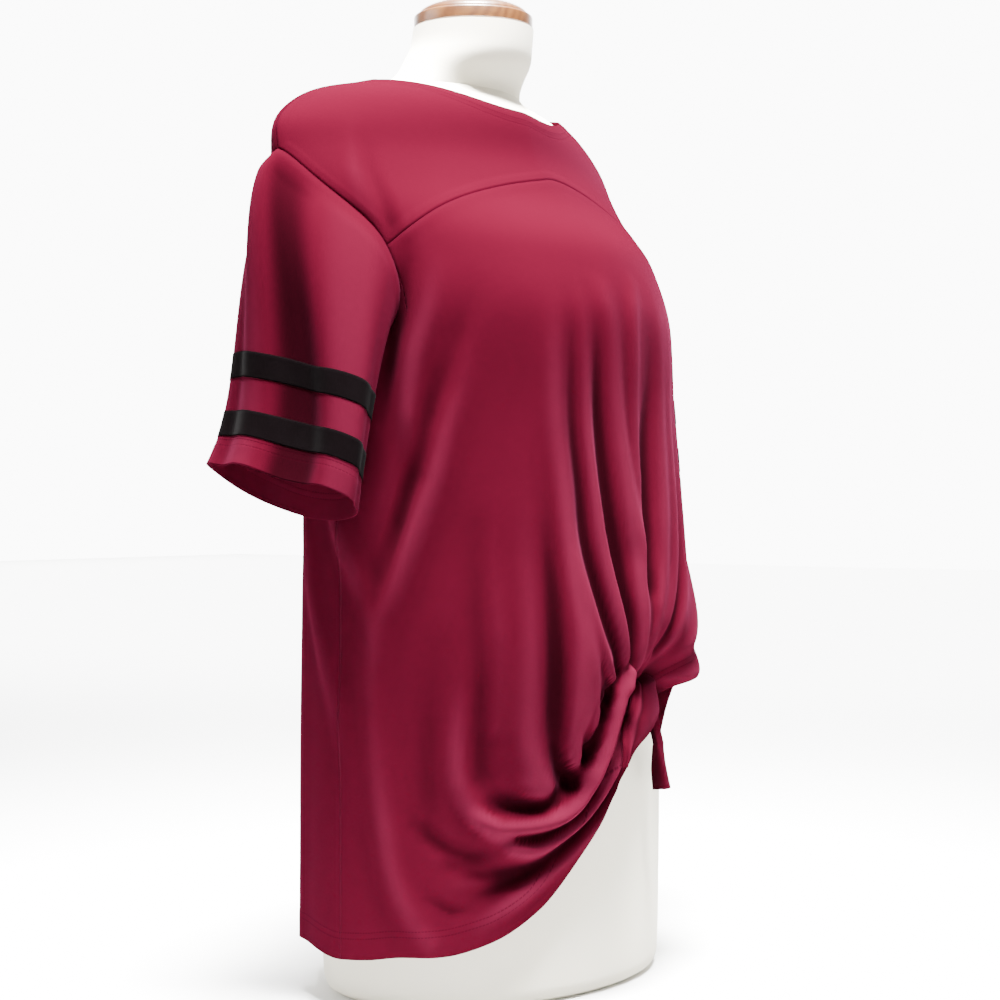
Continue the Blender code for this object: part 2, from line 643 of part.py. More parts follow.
def sleeve(side, parts):
    """One sleeve with its two bands."""
    points, normals = sleeve_rows(side)
    cloth_wall(f"sleeve_{side}", points, normals, WALL, JERSEY, parts, closed=True)
    off = WALL / 2 + CLEAR + BAND_WALL / 2
    for k, level in enumerate(("lower", "upper")):
        rows = slice(1 + 2 * k, 3 + 2 * k)
        outer = points[rows] + normals[rows] * off
        cloth_wall(f"band_{side}_{level}", outer, normals[rows], BAND_WALL, SATIN, parts, closed=True)


def turn_at(x, height):
    """The turn of the front cloth at a given X."""
    heights = [row.height for row in CLOTH_SECTIONS]
    half_width = monotone_curve(heights, [row.half_width for row in CLOTH_SECTIONS], height)
    return 90 + np.degrees(np.arcsin(x / half_width))


def knot_wrap(parts):
    """The leaf of cloth across the knot, bowed out from the gathers."""
    across = np.linspace(-1, 1, WRAP_STEPS + 1)
    x = np.empty((len(WRAP_ROWS), len(across)))
    height = np.empty(x.shape)
    lift = np.empty(x.shape)
    for k, row in enumerate(WRAP_ROWS):
        x[k] = row.x + row.half_width * across * math.cos(math.radians(row.tilt))
        height[k] = row.height + row.half_width * across * math.sin(math.radians(row.tilt))
        lift[k] = WRAP_EDGE_LIFT + row.crown * (1 - across**2)
    turn = turn_at(x, height)
    ends = relief(turn[:, [0, -1]], height[:, [0, -1]])
    share = (across + 1) / 2
    lift += ends[:, :1] * (1 - share) + ends[:, 1:] * share
    normals = outward(smooth_cloth, turn, height)
    points = smooth_cloth(turn, height) + normals * lift[..., None]
    cloth_wall("knot_wrap", points, normals, WRAP_WALL, JERSEY, parts)


def tie_end(parts):
    """The free end that hangs from under the wrap."""
    across = np.linspace(-1, 1, TIE_STEPS + 1)
    x = np.stack([row.x + row.half_width * across for row in TIE_ROWS])
    height = np.stack([row.height + 0 * across for row in TIE_ROWS])
    turn = turn_at(x, height)
    held = np.maximum(height, TIE_HANGS_BELOW)
    points = cloth(turn_at(x, held), held)
    normals = outward(smooth_cloth, turn, height)
    curl = TIE_CURL * (1 - across**2) * smooth_step((TIE_CURL_FROM - height) / TIE_CURL_REACH)
    points = points + normals * (TIE_LIFT + curl)[..., None]
    points[..., 2] = height
    cloth_wall("tie_end", points, normals, WALL, JERSEY, parts)


def form_torso(parts):
    """The closed body of the dress form, flat underneath."""
    turn = np.linspace(0, 360, FORM_COLUMNS + 1)
    height = np.array([row.height for row in FORM_SECTIONS])
    points = ring_point(FORM_SECTIONS, turn[None] + 0 * height[:, None], height[:, None] + 0 * turn[None])
    mesh, _ = placed_grid(points, closed=True)
    rims = [edge for edge in mesh.edges if edge.is_boundary]
    bmesh.ops.holes_fill(mesh, edges=rims, sides=0)
    make_object("form_torso", mesh, FORM_COVER, parts)


def form_neck_cap(parts):
    """The domed cap, turned round the neck."""
    low = FORM_SECTIONS[-1].height + CLEAR
    crown = CAP_RADIUS * CAP_CROWN_SHARE
    dome = CAP_HEIGHT - CAP_RIM
    profile = [(crown * math.sin(a), low + CAP_RIM + dome * math.cos(a))
               for a in np.linspace(0, math.pi / 2, 7)]
    profile += [(CAP_RADIUS, low + CAP_RIM - CAP_CORNER), (CAP_RADIUS, low + CAP_CORNER / 2)]
    profile += [(CAP_RADIUS - CAP_CORNER / 2, low), (0.0, low)]
    mesh = bmesh.new()
    verts = [mesh.verts.new((radius, 0.0, height)) for radius, height in profile]
    edges = [mesh.edges.new(pair) for pair in zip(verts, verts[1:])]
    bmesh.ops.spin(mesh, geom=verts + edges, axis=(0, 0, 1), cent=(0, 0, 0),
                   angle=2 * math.pi, steps=CAP_STEPS, use_merge=True)
    bmesh.ops.remove_doubles(mesh, verts=mesh.verts, dist=1e-5)
    bmesh.ops.translate(mesh, verts=mesh.verts, vec=(0.0, CAP_Y, 0.0))
    make_object("form_neck_cap", mesh, CAP_WOOD, parts)


def main():
    """Build the dress form and the top on it."""
    for item in list(bpy.data.objects):
        bpy.data.objects.remove(item, do_unlink=True)
    parts = bpy.data.collections.new(COLLECTION)
    bpy.context.scene.collection.children.link(parts)
    form_torso(parts)
    form_neck_cap(parts)
    body_panel("front_body", front_body_places(), ("top", "left", "right"), parts)
    body_panel("front_yoke", front_yoke_places(), ("bottom", "left", "right"), parts)
    body_panel("back_panel", back_places(), ("left", "right"), parts)
    for side in ("right", "left"):
        sleeve(side, parts)
    knot_wrap(parts)
    tie_end(parts)


main()
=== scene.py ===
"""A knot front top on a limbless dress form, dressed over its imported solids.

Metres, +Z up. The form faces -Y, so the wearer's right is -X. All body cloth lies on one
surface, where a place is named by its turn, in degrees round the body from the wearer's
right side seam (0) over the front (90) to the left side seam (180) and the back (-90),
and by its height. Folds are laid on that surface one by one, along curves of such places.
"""

import logging
import math
from collections.abc import Sequence
from dataclasses import dataclass, field
from enum import Enum

import bmesh
import bpy
import numpy as np
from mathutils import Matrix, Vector
from mathutils.kdtree import KDTree


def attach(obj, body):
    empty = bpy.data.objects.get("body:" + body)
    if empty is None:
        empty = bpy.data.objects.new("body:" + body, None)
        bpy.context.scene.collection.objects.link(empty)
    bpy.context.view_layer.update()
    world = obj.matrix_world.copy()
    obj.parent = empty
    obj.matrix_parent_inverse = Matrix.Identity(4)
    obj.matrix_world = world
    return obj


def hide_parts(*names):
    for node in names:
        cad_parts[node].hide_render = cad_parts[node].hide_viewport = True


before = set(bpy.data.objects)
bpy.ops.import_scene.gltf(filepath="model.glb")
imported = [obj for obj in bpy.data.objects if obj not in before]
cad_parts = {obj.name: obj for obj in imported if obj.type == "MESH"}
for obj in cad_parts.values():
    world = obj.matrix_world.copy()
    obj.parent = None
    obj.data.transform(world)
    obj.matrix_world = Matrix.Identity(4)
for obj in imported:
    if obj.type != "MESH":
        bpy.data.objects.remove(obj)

LOG = logging.getLogger("knot_front_top")
Array = np.ndarray
BMesh = bmesh.types.BMesh
Socket = bpy.types.NodeSocket
Colour = tuple[float, float, float, float]
Pair = tuple[float, float]

# Metres of cloth to one radian of turn, where distances along folds are measured.
UNROLL = 0.200
CLOTH_THICKNESS = 0.0009
# Half widths of a fold beyond which it lifts nothing.
FOLD_REACH = 4
# Steps over which a body's sizes are evened out, and the weight of each.
EVENING = ((-1.0, 0.12), (-0.5, 0.23), (0.0, 0.30), (0.5, 0.23), (1.0, 0.12))
# Six steps round a place, along the cloth and up it.
ROUND_ABOUT = ((1.0, 0.0), (-1.0, 0.0), (0.5, 0.8), (-0.5, 0.8), (0.5, -0.8), (-0.5, -0.8))
# Steps in degrees and metres between which a surface's outward way is measured.
NORMAL_STEPS = (0.3, 0.001)
# Half width of a stitched line, and how the turned edge beside it swells and fades.
SEAM_HALF = 0.0011
WELT_WIDTH = 0.011
WELT_FADE = 0.005
# How softly the doubled cloth of a hem or rim ends.
TURNED_FADE = 0.003
# A distance from the hem that no line of stitches reaches.
FAR_FROM_HEM = 0.2
# Steps by which shares, lines and the sleeve's curves are worked out.
SHARE_STEPS = 4001
LINE_STEP = 0.0003
CURVE_STEPS = 81
# Points nearer than this are one point, and so are the cap's points at its poles.
SAME_POINT = 1e-6
SAME_POLE = 1e-5
# Where the middle line that a piece's faces turn away from lies.
INSIDE_SHARE = 0.85
INSIDE_Y = 0.02


class Side(Enum):
    """The wearer's two sides."""

    RIGHT = "right"
    LEFT = "left"

    @property
    def flip(self) -> Array:
        """What turns a point of the right side into one of this side."""
        return np.array([-1.0 if self is Side.LEFT else 1.0, 1.0, 1.0])


class Crest(Enum):
    """How the cross-section of a fold is shaped: its power and how blunt its top is."""

    ROUND = (2.0, 0.0)
    KEEN = (1.8, 0.60)
    ROLL = (3.2, 0.0)

    def profile(self, aside: Array) -> Array:
        """Height of the fold, 0 to 1, at a distance from its line in half widths.

        Args:
            aside: distances from the fold's line, over its half width.

        Returns:
            The share of the fold's lift at each distance.
        """
        power, blunt = self.value
        return np.exp(blunt**power - (aside**2 + blunt**2) ** (power / 2))


class Held(Enum):
    """How a sheet of cloth is held."""

    DRAPED = "draped"
    GATHERED = "gathered"
    STRETCHED = "stretched"


@dataclass(frozen=True)
class Ring:
    """One ring round a body: half width, middle in Y, reach to the front and back."""

    height: float
    half_width: float
    centre: float
    front: float
    back: float
    power: float


# How far out the middle of each sleeve's hem stands, and its Y.
HEM_MIDDLES = {Side.RIGHT: (0.2575, 0.015), Side.LEFT: (0.2490, 0.030)}


@dataclass(frozen=True)
class Fold:
    """A ridge, or with negative lifts a trough, on a curve of (turn, height) places.

    Lifts and half widths are spread evenly from the curve's first place to its last.
    """

    name: str
    places: tuple[Pair, ...]
    lifts: tuple[float, ...]
    widths: tuple[float, ...]
    crest: Crest = Crest.ROUND

    def lift(self, turn: Array, height: Array) -> Array:
        """How far this fold lifts the cloth at each place.

        Args:
            turn: turns in degrees.
            height: heights in metres, of the same shape.

        Returns:
            The lift in metres at each place.
        """
        to_metres = np.array([math.radians(UNROLL), 1.0])
        line = smooth_line(np.array(self.places, float)) * to_metres
        middle = line[len(line) // 2, 0] / to_metres[0]
        near_turn = middle + (turn - middle + 180) % 360 - 180
        place = np.stack([near_turn, height], axis=-1) * to_metres
        result = np.zeros(turn.shape)
        reach = FOLD_REACH * max(self.widths)
        inside = np.all((place > line.min(0) - reach) & (place < line.max(0) + reach), axis=-1)
        if not inside.any():
            return result
        at = place[inside]
        gap = np.full(len(at), np.inf)
        along = np.zeros(len(at))
        for k, (start, span) in enumerate(zip(line[:-1], np.diff(line, axis=0))):
            from_start = at - start
            share = np.clip(from_start @ span / (span @ span), 0, 1)
            off = np.linalg.norm(from_start - share[:, None] * span, axis=-1)
            along = np.where(off < gap, (k + share) / (len(line) - 1), along)
            gap = np.minimum(gap, off)
        lift, width = (np.interp(along, np.linspace(0, 1, len(row)), row)
                       for row in (self.lifts, self.widths))
        result[inside] = lift * self.crest.profile(gap / width)
        return result


def smooth_step(value: Array) -> Array:
    """Rise smoothly from 0 to 1 as the value goes from 0 to 1."""
    held = np.clip(value, 0.0, 1.0)
    return held * held * (3.0 - 2.0 * held)


def smooth_line(places: Array, steps: int = 7) -> Array:
    """Draw a smooth curve through places.

    Args:
        places: rows of coordinates.
        steps: points on each span.

    Returns:
        The rows of the finer curve, both ends included.
    """
    padded = np.vstack([2 * places[0] - places[1], places, 2 * places[-1] - places[-2]])
    t = (np.arange(steps) / steps)[:, None]
    spans = []
    for a, b, c, d in zip(padded, padded[1:], padded[2:], padded[3:]):
        spans.append(0.5 * (2 * b + (c - a) * t + (2 * a - 5 * b + 4 * c - d) * t**2
                            + (3 * b - a - 3 * c + d) * t**3))
    return np.vstack(spans + [places[-1:]])


def monotone_curve(knots: Sequence[float], values: Sequence[float], at: Array) -> Array:
    """Read a monotone cubic through the knots, which never overshoots them.

    Args:
        knots: rising positions.
        values: the value at each knot.
        at: where to read the curve.

    Returns:
        The curve's value at each place.
    """
    knots = np.asarray(knots, float)
    values = np.asarray(values, float)
    spans = np.diff(knots)
    slopes = np.diff(values) / spans
    tangents = np.concatenate(([slopes[0]], np.zeros(len(knots) - 2), [slopes[-1]]))
    for k in range(1, len(knots) - 1):
        if slopes[k - 1] * slopes[k] > 0:
            near = 2 * spans[k] + spans[k - 1]
            far = spans[k] + 2 * spans[k - 1]
            tangents[k] = (near + far) / (near / slopes[k - 1] + far / slopes[k])
    at = np.clip(at, knots[0], knots[-1])
    k = np.clip(np.searchsorted(knots, at) - 1, 0, len(knots) - 2)
    t = (at - knots[k]) / spans[k]
    rise = t * t * (3 - 2 * t)
    flat = values[k] * (1 - rise) + values[k + 1] * rise
    return (flat + t * (1 - t) ** 2 * spans[k] * tangents[k]
            + t * t * (t - 1) * spans[k] * tangents[k + 1])


@dataclass(frozen=True)
class RingBody:
    """A body drawn through rings, its sizes evened out over some height."""

    rings: tuple[Ring, ...]
    evened: float = 0.0

    def read(self, name: str, height: Array) -> Array:
        """One size of the rings, read smoothly at each height."""
        knots = [ring.height for ring in self.rings]
        values = [getattr(ring, name) for ring in self.rings]
        if not self.evened:
            return monotone_curve(knots, values, height)
        return sum(weight * monotone_curve(knots, values, height + step * self.evened)
                   for step, weight in EVENING)

    def place(self, turn: Array, height: Array) -> Array:
        """Points of the surface.

        Args:
            turn: turns in degrees.
            height: heights in metres, of the same shape.

        Returns:
            Points, with X, Y and Z on the last axis.
        """
        power = self.read("power", height)
        side = np.cos(np.radians(turn))
        fore = np.sin(np.radians(turn))
        reach = np.where(fore > 0, self.read("front", height), self.read("back", height))
        x = -self.read("half_width", height) * np.sign(side) * np.abs(side) ** (2 / power)
        y = self.read("centre", height) - reach * np.sign(fore) * np.abs(fore) ** (2 / power)
        return np.stack([x, y, height + 0 * x], axis=-1)

    def outward(self, turn: Array, height: Array) -> Array:
        """Outward unit normals of the surface, for the same places as place()."""
        turn_step, height_step = NORMAL_STEPS
        round_body = self.place(turn + turn_step, height) - self.place(turn - turn_step, height)
        up_body = self.place(turn, height + height_step) - self.place(turn, height - height_step)
        normal = np.cross(round_body, up_body)
        return normal / np.linalg.norm(normal, axis=-1, keepdims=True)

    def turn_at(self, x: Array, height: Array) -> Array:
        """The turn of the front surface at a given X."""
        return 90 + np.degrees(np.arcsin(x / self.read("half_width", height)))


FORM_BODY = RingBody((
    Ring(0.000, 0.172, -0.003, 0.130, 0.113, 2.00),
    Ring(0.004, 0.179, -0.003, 0.137, 0.120, 2.00),
    Ring(0.014, 0.182, -0.003, 0.140, 0.123, 2.00),
    Ring(0.060, 0.184, -0.003, 0.141, 0.124, 2.00),
    Ring(0.160, 0.185, -0.003, 0.142, 0.124, 2.00),
    Ring(0.220, 0.180, -0.003, 0.138, 0.121, 2.00),
    Ring(0.300, 0.162, -0.002, 0.124, 0.115, 2.00),
    Ring(0.385, 0.142, -0.001, 0.110, 0.106, 2.00),
    Ring(0.450, 0.149, 0.000, 0.119, 0.112, 2.00),
    Ring(0.515, 0.162, 0.002, 0.137, 0.118, 2.00),
    Ring(0.585, 0.172, 0.006, 0.148, 0.121, 2.00),
    Ring(0.650, 0.183, 0.018, 0.128, 0.112, 1.90),
    Ring(0.700, 0.196, 0.030, 0.106, 0.099, 1.75),
    Ring(0.740, 0.204, 0.040, 0.090, 0.082, 1.60),
    Ring(0.7625, 0.200, 0.044, 0.084, 0.072, 1.55),
    Ring(0.7742, 0.193, 0.045, 0.081, 0.069, 1.55),
    Ring(0.7873, 0.166, 0.046, 0.076, 0.063, 1.58),
    Ring(0.8053, 0.090, 0.046, 0.058, 0.046, 1.80),
    Ring(0.818, 0.070, 0.036, 0.056, 0.048, 2.00),
    Ring(0.834, 0.061, 0.024, 0.059, 0.058, 2.00),
    Ring(0.850, 0.0565, 0.018, 0.0565, 0.0565, 2.00),
    Ring(0.865, 0.0560, 0.016, 0.0560, 0.0560, 2.00),
))

CLOTH_BODY = RingBody((
    Ring(0.030, 0.206, -0.002, 0.151, 0.129, 2.00),
    Ring(0.160, 0.206, -0.002, 0.165, 0.129, 2.00),
    Ring(0.290, 0.206, -0.002, 0.181, 0.129, 2.00),
    Ring(0.400, 0.205, -0.001, 0.167, 0.130, 2.00),
    Ring(0.515, 0.203, 0.002, 0.158, 0.132, 2.00),
    Ring(0.585, 0.204, 0.006, 0.160, 0.132, 2.00),
    Ring(0.650, 0.214, 0.018, 0.150, 0.124, 1.85),
    Ring(0.710, 0.242, 0.033, 0.104, 0.106, 1.60),
    Ring(0.745, 0.240, 0.041, 0.094, 0.092, 1.50),
    Ring(0.769, 0.217, 0.045, 0.093, 0.082, 1.50),
    Ring(0.790, 0.172, 0.047, 0.084, 0.074, 1.58),
    Ring(0.808, 0.092, 0.049, 0.066, 0.060, 1.80),
    Ring(0.830, 0.060, 0.049, 0.050, 0.050, 2.00),
), evened=0.012)

GATHERS = (
    Fold("outer gather", ((61, 0.60), (58, 0.514), (54, 0.413), (52, 0.33), (51, 0.27),
         (52, 0.23), (55, 0.200), (58, 0.178)),
         (0.001, 0.003, 0.005, 0.006, 0.005), (0.024, 0.018, 0.013)),
    Fold("first gather", ((67, 0.609), (64, 0.549), (64, 0.43), (65, 0.35), (65, 0.27),
         (66, 0.223), (68, 0.203)),
         (0.0004, 0.0052, 0.0081, 0.0096, 0.0081, 0.0052), (0.015, 0.014, 0.010), Crest.KEEN),
    Fold("hollow outside the first gather", ((62, 0.50), (60, 0.40), (58, 0.33), (58, 0.283),
         (59, 0.235), (62, 0.198)), (0.0, -0.003, -0.0052, -0.0067, -0.0059), (0.014, 0.012)),
    Fold("hollow inside the first gather", ((70, 0.600), (69, 0.50), (70, 0.44), (70, 0.39),
         (74, 0.324), (78, 0.287)),
         (0.0, -0.0044, -0.0074, -0.0081, -0.0059), (0.011, 0.010, 0.005)),
    Fold("split of the first gather", ((66, 0.380), (68, 0.350), (70, 0.320), (73, 0.289),
         (76, 0.276), (79, 0.271)),
         (0.0007, 0.0037, 0.0059, 0.0052, 0.003), (0.008, 0.006, 0.004), Crest.KEEN),
    Fold("small ridge to the roll", ((67, 0.32), (68, 0.300), (68.5, 0.282), (70, 0.258),
         (72, 0.240)), (0.0007, 0.0037, 0.0044, 0.003), (0.006, 0.005), Crest.KEEN),
    Fold("second gather", ((74, 0.614), (73, 0.569), (74, 0.471), (76, 0.385), (78, 0.317),
         (80, 0.286)),
         (0.0004, 0.0037, 0.0059, 0.0067, 0.0044), (0.010, 0.009, 0.005), Crest.KEEN),
    Fold("hollow before the third gather", ((80, 0.600), (78, 0.53), (78, 0.462), (79, 0.40),
         (81, 0.349), (83, 0.316), (82.5, 0.286)),
         (0.0, -0.0059, -0.0089, -0.0096, -0.0067), (0.011, 0.010, 0.005)),
    Fold("third gather", ((84, 0.627), (82, 0.593), (84, 0.496), (86, 0.422), (88, 0.384),
         (87, 0.358), (86, 0.316), (86, 0.287)),
         (0.0004, 0.0059, 0.0089, 0.0081, 0.0044), (0.014, 0.012, 0.006), Crest.KEEN),
    Fold("fourth gather", ((100, 0.631), (96, 0.613), (93, 0.589), (92, 0.548), (91, 0.472),
         (91, 0.432), (89.5, 0.389)),
         (0.0, 0.003, 0.0044, 0.0044, 0.0015), (0.010, 0.009), Crest.KEEN),
    Fold("hollow past the fourth gather", ((102, 0.600), (101, 0.534), (97, 0.482), (95, 0.44),
         (93, 0.399), (91, 0.355)), (0.0, -0.0044, -0.0067, -0.0052), (0.013, 0.010)),
    Fold("fifth gather", ((109, 0.620), (107, 0.53), (104, 0.45), (99, 0.38), (93, 0.33),
         (89, 0.292)),
         (0.0004, 0.0037, 0.0059, 0.0052, 0.003), (0.015, 0.012, 0.005), Crest.KEEN),
    Fold("sixth gather", ((117, 0.60), (115, 0.50), (111, 0.42), (104, 0.36), (96, 0.315),
         (91, 0.287)),
         (0.0004, 0.003, 0.0052, 0.0044, 0.0022), (0.018, 0.013, 0.005), Crest.KEEN),
    Fold("seventh gather", ((127, 0.57), (124, 0.47), (118, 0.39), (109, 0.335), (99, 0.300),
         (92, 0.281)),
         (0.0004, 0.0037, 0.0052, 0.0044, 0.0022), (0.020, 0.014, 0.005), Crest.KEEN),
    Fold("hollow of the left gathers", ((122, 0.56), (120, 0.46), (114, 0.385), (104, 0.33),
         (95, 0.300)), (0.0, -0.003, -0.0052, -0.0044), (0.016, 0.007)),
    Fold("left balloon ridge", ((150, 0.46), (138, 0.37), (125, 0.318), (111, 0.292),
         (100, 0.279), (92, 0.273)),
         (0.001, 0.005, 0.007, 0.006, 0.003), (0.022, 0.013, 0.005), Crest.KEEN),
    Fold("hollow over the balloon's edge", ((146, 0.38), (132, 0.322), (118, 0.297), (105, 0.283),
         (96, 0.276)), (0.0, -0.003, -0.0037, -0.003), (0.014, 0.005)),
    Fold("left swag", ((94, 0.262), (110, 0.270), (130, 0.276), (146, 0.30), (160, 0.36)),
         (0.004, 0.006, 0.005, 0.002), (0.006, 0.010, 0.018), Crest.KEEN),
)

SWAGS = (
    Fold("swag roll", ((81.5, 0.283), (79.5, 0.270), (77.8, 0.252), (75.5, 0.226), (72.2, 0.202),
         (68.6, 0.180), (64.5, 0.166), (59, 0.159), (52, 0.157), (45, 0.160), (40, 0.166)),
         (0.010, 0.013, 0.013, 0.012, 0.011, 0.009, 0.003), (0.006, 0.0065, 0.0075, 0.0075)),
    Fold("trough over the roll", ((80.5, 0.289), (77, 0.274), (74.2, 0.253), (71, 0.224),
         (67, 0.198), (61, 0.180), (50, 0.174)),
         (-0.004, -0.006, -0.007, -0.007, -0.006, -0.004, -0.001), (0.004, 0.005, 0.006, 0.007)),
    Fold("pocket under the knot", ((75.3, 0.294), (76.5, 0.282), (77.3, 0.273)),
         (-0.001, -0.006, -0.008), (0.004, 0.0045)),
    Fold("second pocket", ((72.6, 0.286), (74, 0.272), (75, 0.262)),
         (-0.001, -0.006, -0.009), (0.0045, 0.005)),
    Fold("third pocket", ((70.6, 0.271), (72, 0.257), (73, 0.247)),
         (-0.001, -0.006, -0.010), (0.005, 0.0055)),
    Fold("fourth pocket", ((66, 0.250), (67.5, 0.228), (69.3, 0.213)),
         (0.0, -0.008, -0.013), (0.007, 0.0075)),
    Fold("fifth pocket", ((60, 0.228), (63, 0.204), (66.3, 0.189)),
         (0.0, -0.008, -0.013), (0.009, 0.008)),
    Fold("shelf over the roll", ((44, 0.178), (51, 0.173), (57, 0.173), (61, 0.176)),
         (-0.001, -0.006, -0.007, -0.003), (0.006, 0.007)),
    Fold("groove under the roll", ((79.3, 0.262), (77.2, 0.238), (74.6, 0.209), (70, 0.173),
         (64, 0.155), (55, 0.148), (47, 0.150)),
         (-0.004, -0.006, -0.006, -0.005, -0.004, -0.001), (0.0035, 0.004, 0.0045)),
    Fold("second strand", ((81, 0.236), (79, 0.218), (76, 0.192), (70, 0.163), (63, 0.145),
         (57, 0.138), (50, 0.138)), (0.007, 0.010, 0.009, 0.007, 0.004), (0.005, 0.006, 0.007)),
    Fold("drape into the swags", ((42, 0.36), (36, 0.28), (34, 0.215), (38, 0.178), (45, 0.153),
         (53, 0.136), (61, 0.128)),
         (0.0, 0.002, 0.005, 0.006, 0.004, 0.001), (0.012, 0.010, 0.007), Crest.KEEN),
    Fold("deep groove of the lower swag", ((80, 0.200), (75, 0.168), (69, 0.145), (61, 0.125),
         (52, 0.111), (44, 0.103), (37, 0.100)),
         (-0.004, -0.009, -0.011, -0.009, -0.005, -0.001), (0.005, 0.008, 0.008)),
    Fold("lower ridge", ((80, 0.178), (74, 0.155), (66, 0.131), (58, 0.112), (51, 0.094),
         (43, 0.074)), (0.004, 0.006, 0.006, 0.005, 0.002), (0.006, 0.008, 0.010), Crest.KEEN),
    Fold("branch of the groove", ((60, 0.128), (52, 0.121), (44, 0.118), (34, 0.124)),
         (-0.001, -0.005, -0.003), (0.006, 0.008)),
    Fold("soft groove", ((24, 0.158), (32, 0.142), (40, 0.133), (52, 0.125)),
         (-0.001, -0.004, -0.004, -0.001), (0.008, 0.009)),
    Fold("small pucker", ((29, 0.097), (35, 0.088), (42, 0.089)),
         (-0.001, -0.003, -0.001), (0.006, 0.006)),
)

SIDE_DRAPES = (
    Fold("ridge from the bust to the side", ((42, 0.60), (38, 0.529), (34, 0.497), (29, 0.449),
         (24, 0.410), (18, 0.362), (13, 0.325), (10, 0.27)),
         (0.0, 0.003, 0.006, 0.006, 0.005, 0.001), (0.013, 0.012), Crest.KEEN),
    Fold("hollow behind it", ((31, 0.53), (26, 0.465), (22, 0.430), (18, 0.395), (13, 0.35)),
         (-0.001, -0.006, -0.006, -0.001), (0.013, 0.010)),
    Fold("ridge over the side seam", ((-12, 0.52), (-7, 0.462), (-3, 0.422), (2, 0.386),
         (7, 0.352), (11, 0.30)), (0.0, 0.004, 0.006, 0.005, 0.001), (0.010, 0.010), Crest.KEEN),
    Fold("right back edge", ((-24, 0.46), (-19, 0.40), (-15, 0.345), (-7, 0.288), (1, 0.235),
         (6, 0.17)), (0.001, 0.005, 0.005, 0.004, 0.001), (0.016, 0.013), Crest.KEEN),
    Fold("low side drape", ((9, 0.30), (10, 0.26), (12, 0.21), (15, 0.159), (18, 0.118),
         (23, 0.085), (29, 0.060)),
         (0.001, 0.004, 0.006, 0.006, 0.004), (0.016, 0.013), Crest.KEEN),
    Fold("hollow beside it", ((28, 0.30), (26, 0.24), (27, 0.17), (31, 0.12)),
         (-0.001, -0.003, -0.003, -0.001), (0.018, 0.014)),
    Fold("hollow below the bust", ((40, 0.40), (38.5, 0.33), (38, 0.27), (40, 0.20)),
         (-0.001, -0.003, -0.004, -0.003), (0.016, 0.013)),
    Fold("faint ridge below the bust", ((46, 0.43), (44, 0.37), (43.5, 0.32), (44, 0.24)),
         (0.0005, 0.002, 0.003, 0.002), (0.011, 0.010)),
    Fold("armpit fold", ((30, 0.640), (24, 0.61), (20, 0.575), (17, 0.54), (14, 0.50)),
         (-0.001, -0.005, -0.008, -0.007, -0.002), (0.009, 0.012)),
    Fold("ridge beside the armpit", ((36, 0.625), (30, 0.585), (25, 0.545), (23, 0.50),
         (23, 0.46)), (0.001, 0.003, 0.004, 0.004, 0.001), (0.012, 0.011), Crest.KEEN),
    Fold("crease to the bust", ((45, 0.61), (38, 0.565), (31, 0.50)),
         (-0.0005, -0.002, -0.001), (0.012, 0.010)),
    Fold("crease from the shoulder", ((37, 0.727), (35, 0.695), (29, 0.662), (22, 0.628)),
         (-0.0005, -0.002, -0.003, -0.001), (0.007, 0.008)),
    Fold("soft ridge on the yoke", ((33, 0.745), (30, 0.705), (25, 0.675)),
         (0.0005, 0.002, 0.001), (0.010, 0.010)),
    Fold("left ridge to the side", ((140, 0.58), (146, 0.50), (153, 0.43), (161, 0.36),
         (168, 0.29), (170, 0.20)),
         (0.0, 0.005, 0.006, 0.005, 0.002), (0.016, 0.014), Crest.KEEN),
    Fold("left hollow", ((151, 0.55), (157, 0.47), (164, 0.40), (170, 0.33)),
         (-0.001, -0.005, -0.005, -0.001), (0.014, 0.012)),
    Fold("left ridge over the seam", ((192, 0.50), (187, 0.44), (181, 0.385), (175, 0.32),
         (171, 0.25)), (0.001, 0.005, 0.005, 0.002), (0.012, 0.012), Crest.KEEN),
    Fold("left armpit fold", ((150, 0.640), (156, 0.60), (160, 0.565), (163, 0.53), (166, 0.49)),
         (-0.001, -0.005, -0.007, -0.006, -0.002), (0.009, 0.012)),
    Fold("left low drape", ((172, 0.27), (170, 0.20), (167, 0.13), (165, 0.09)),
         (0.001, 0.005, 0.006, 0.005), (0.016, 0.014), Crest.KEEN),
)

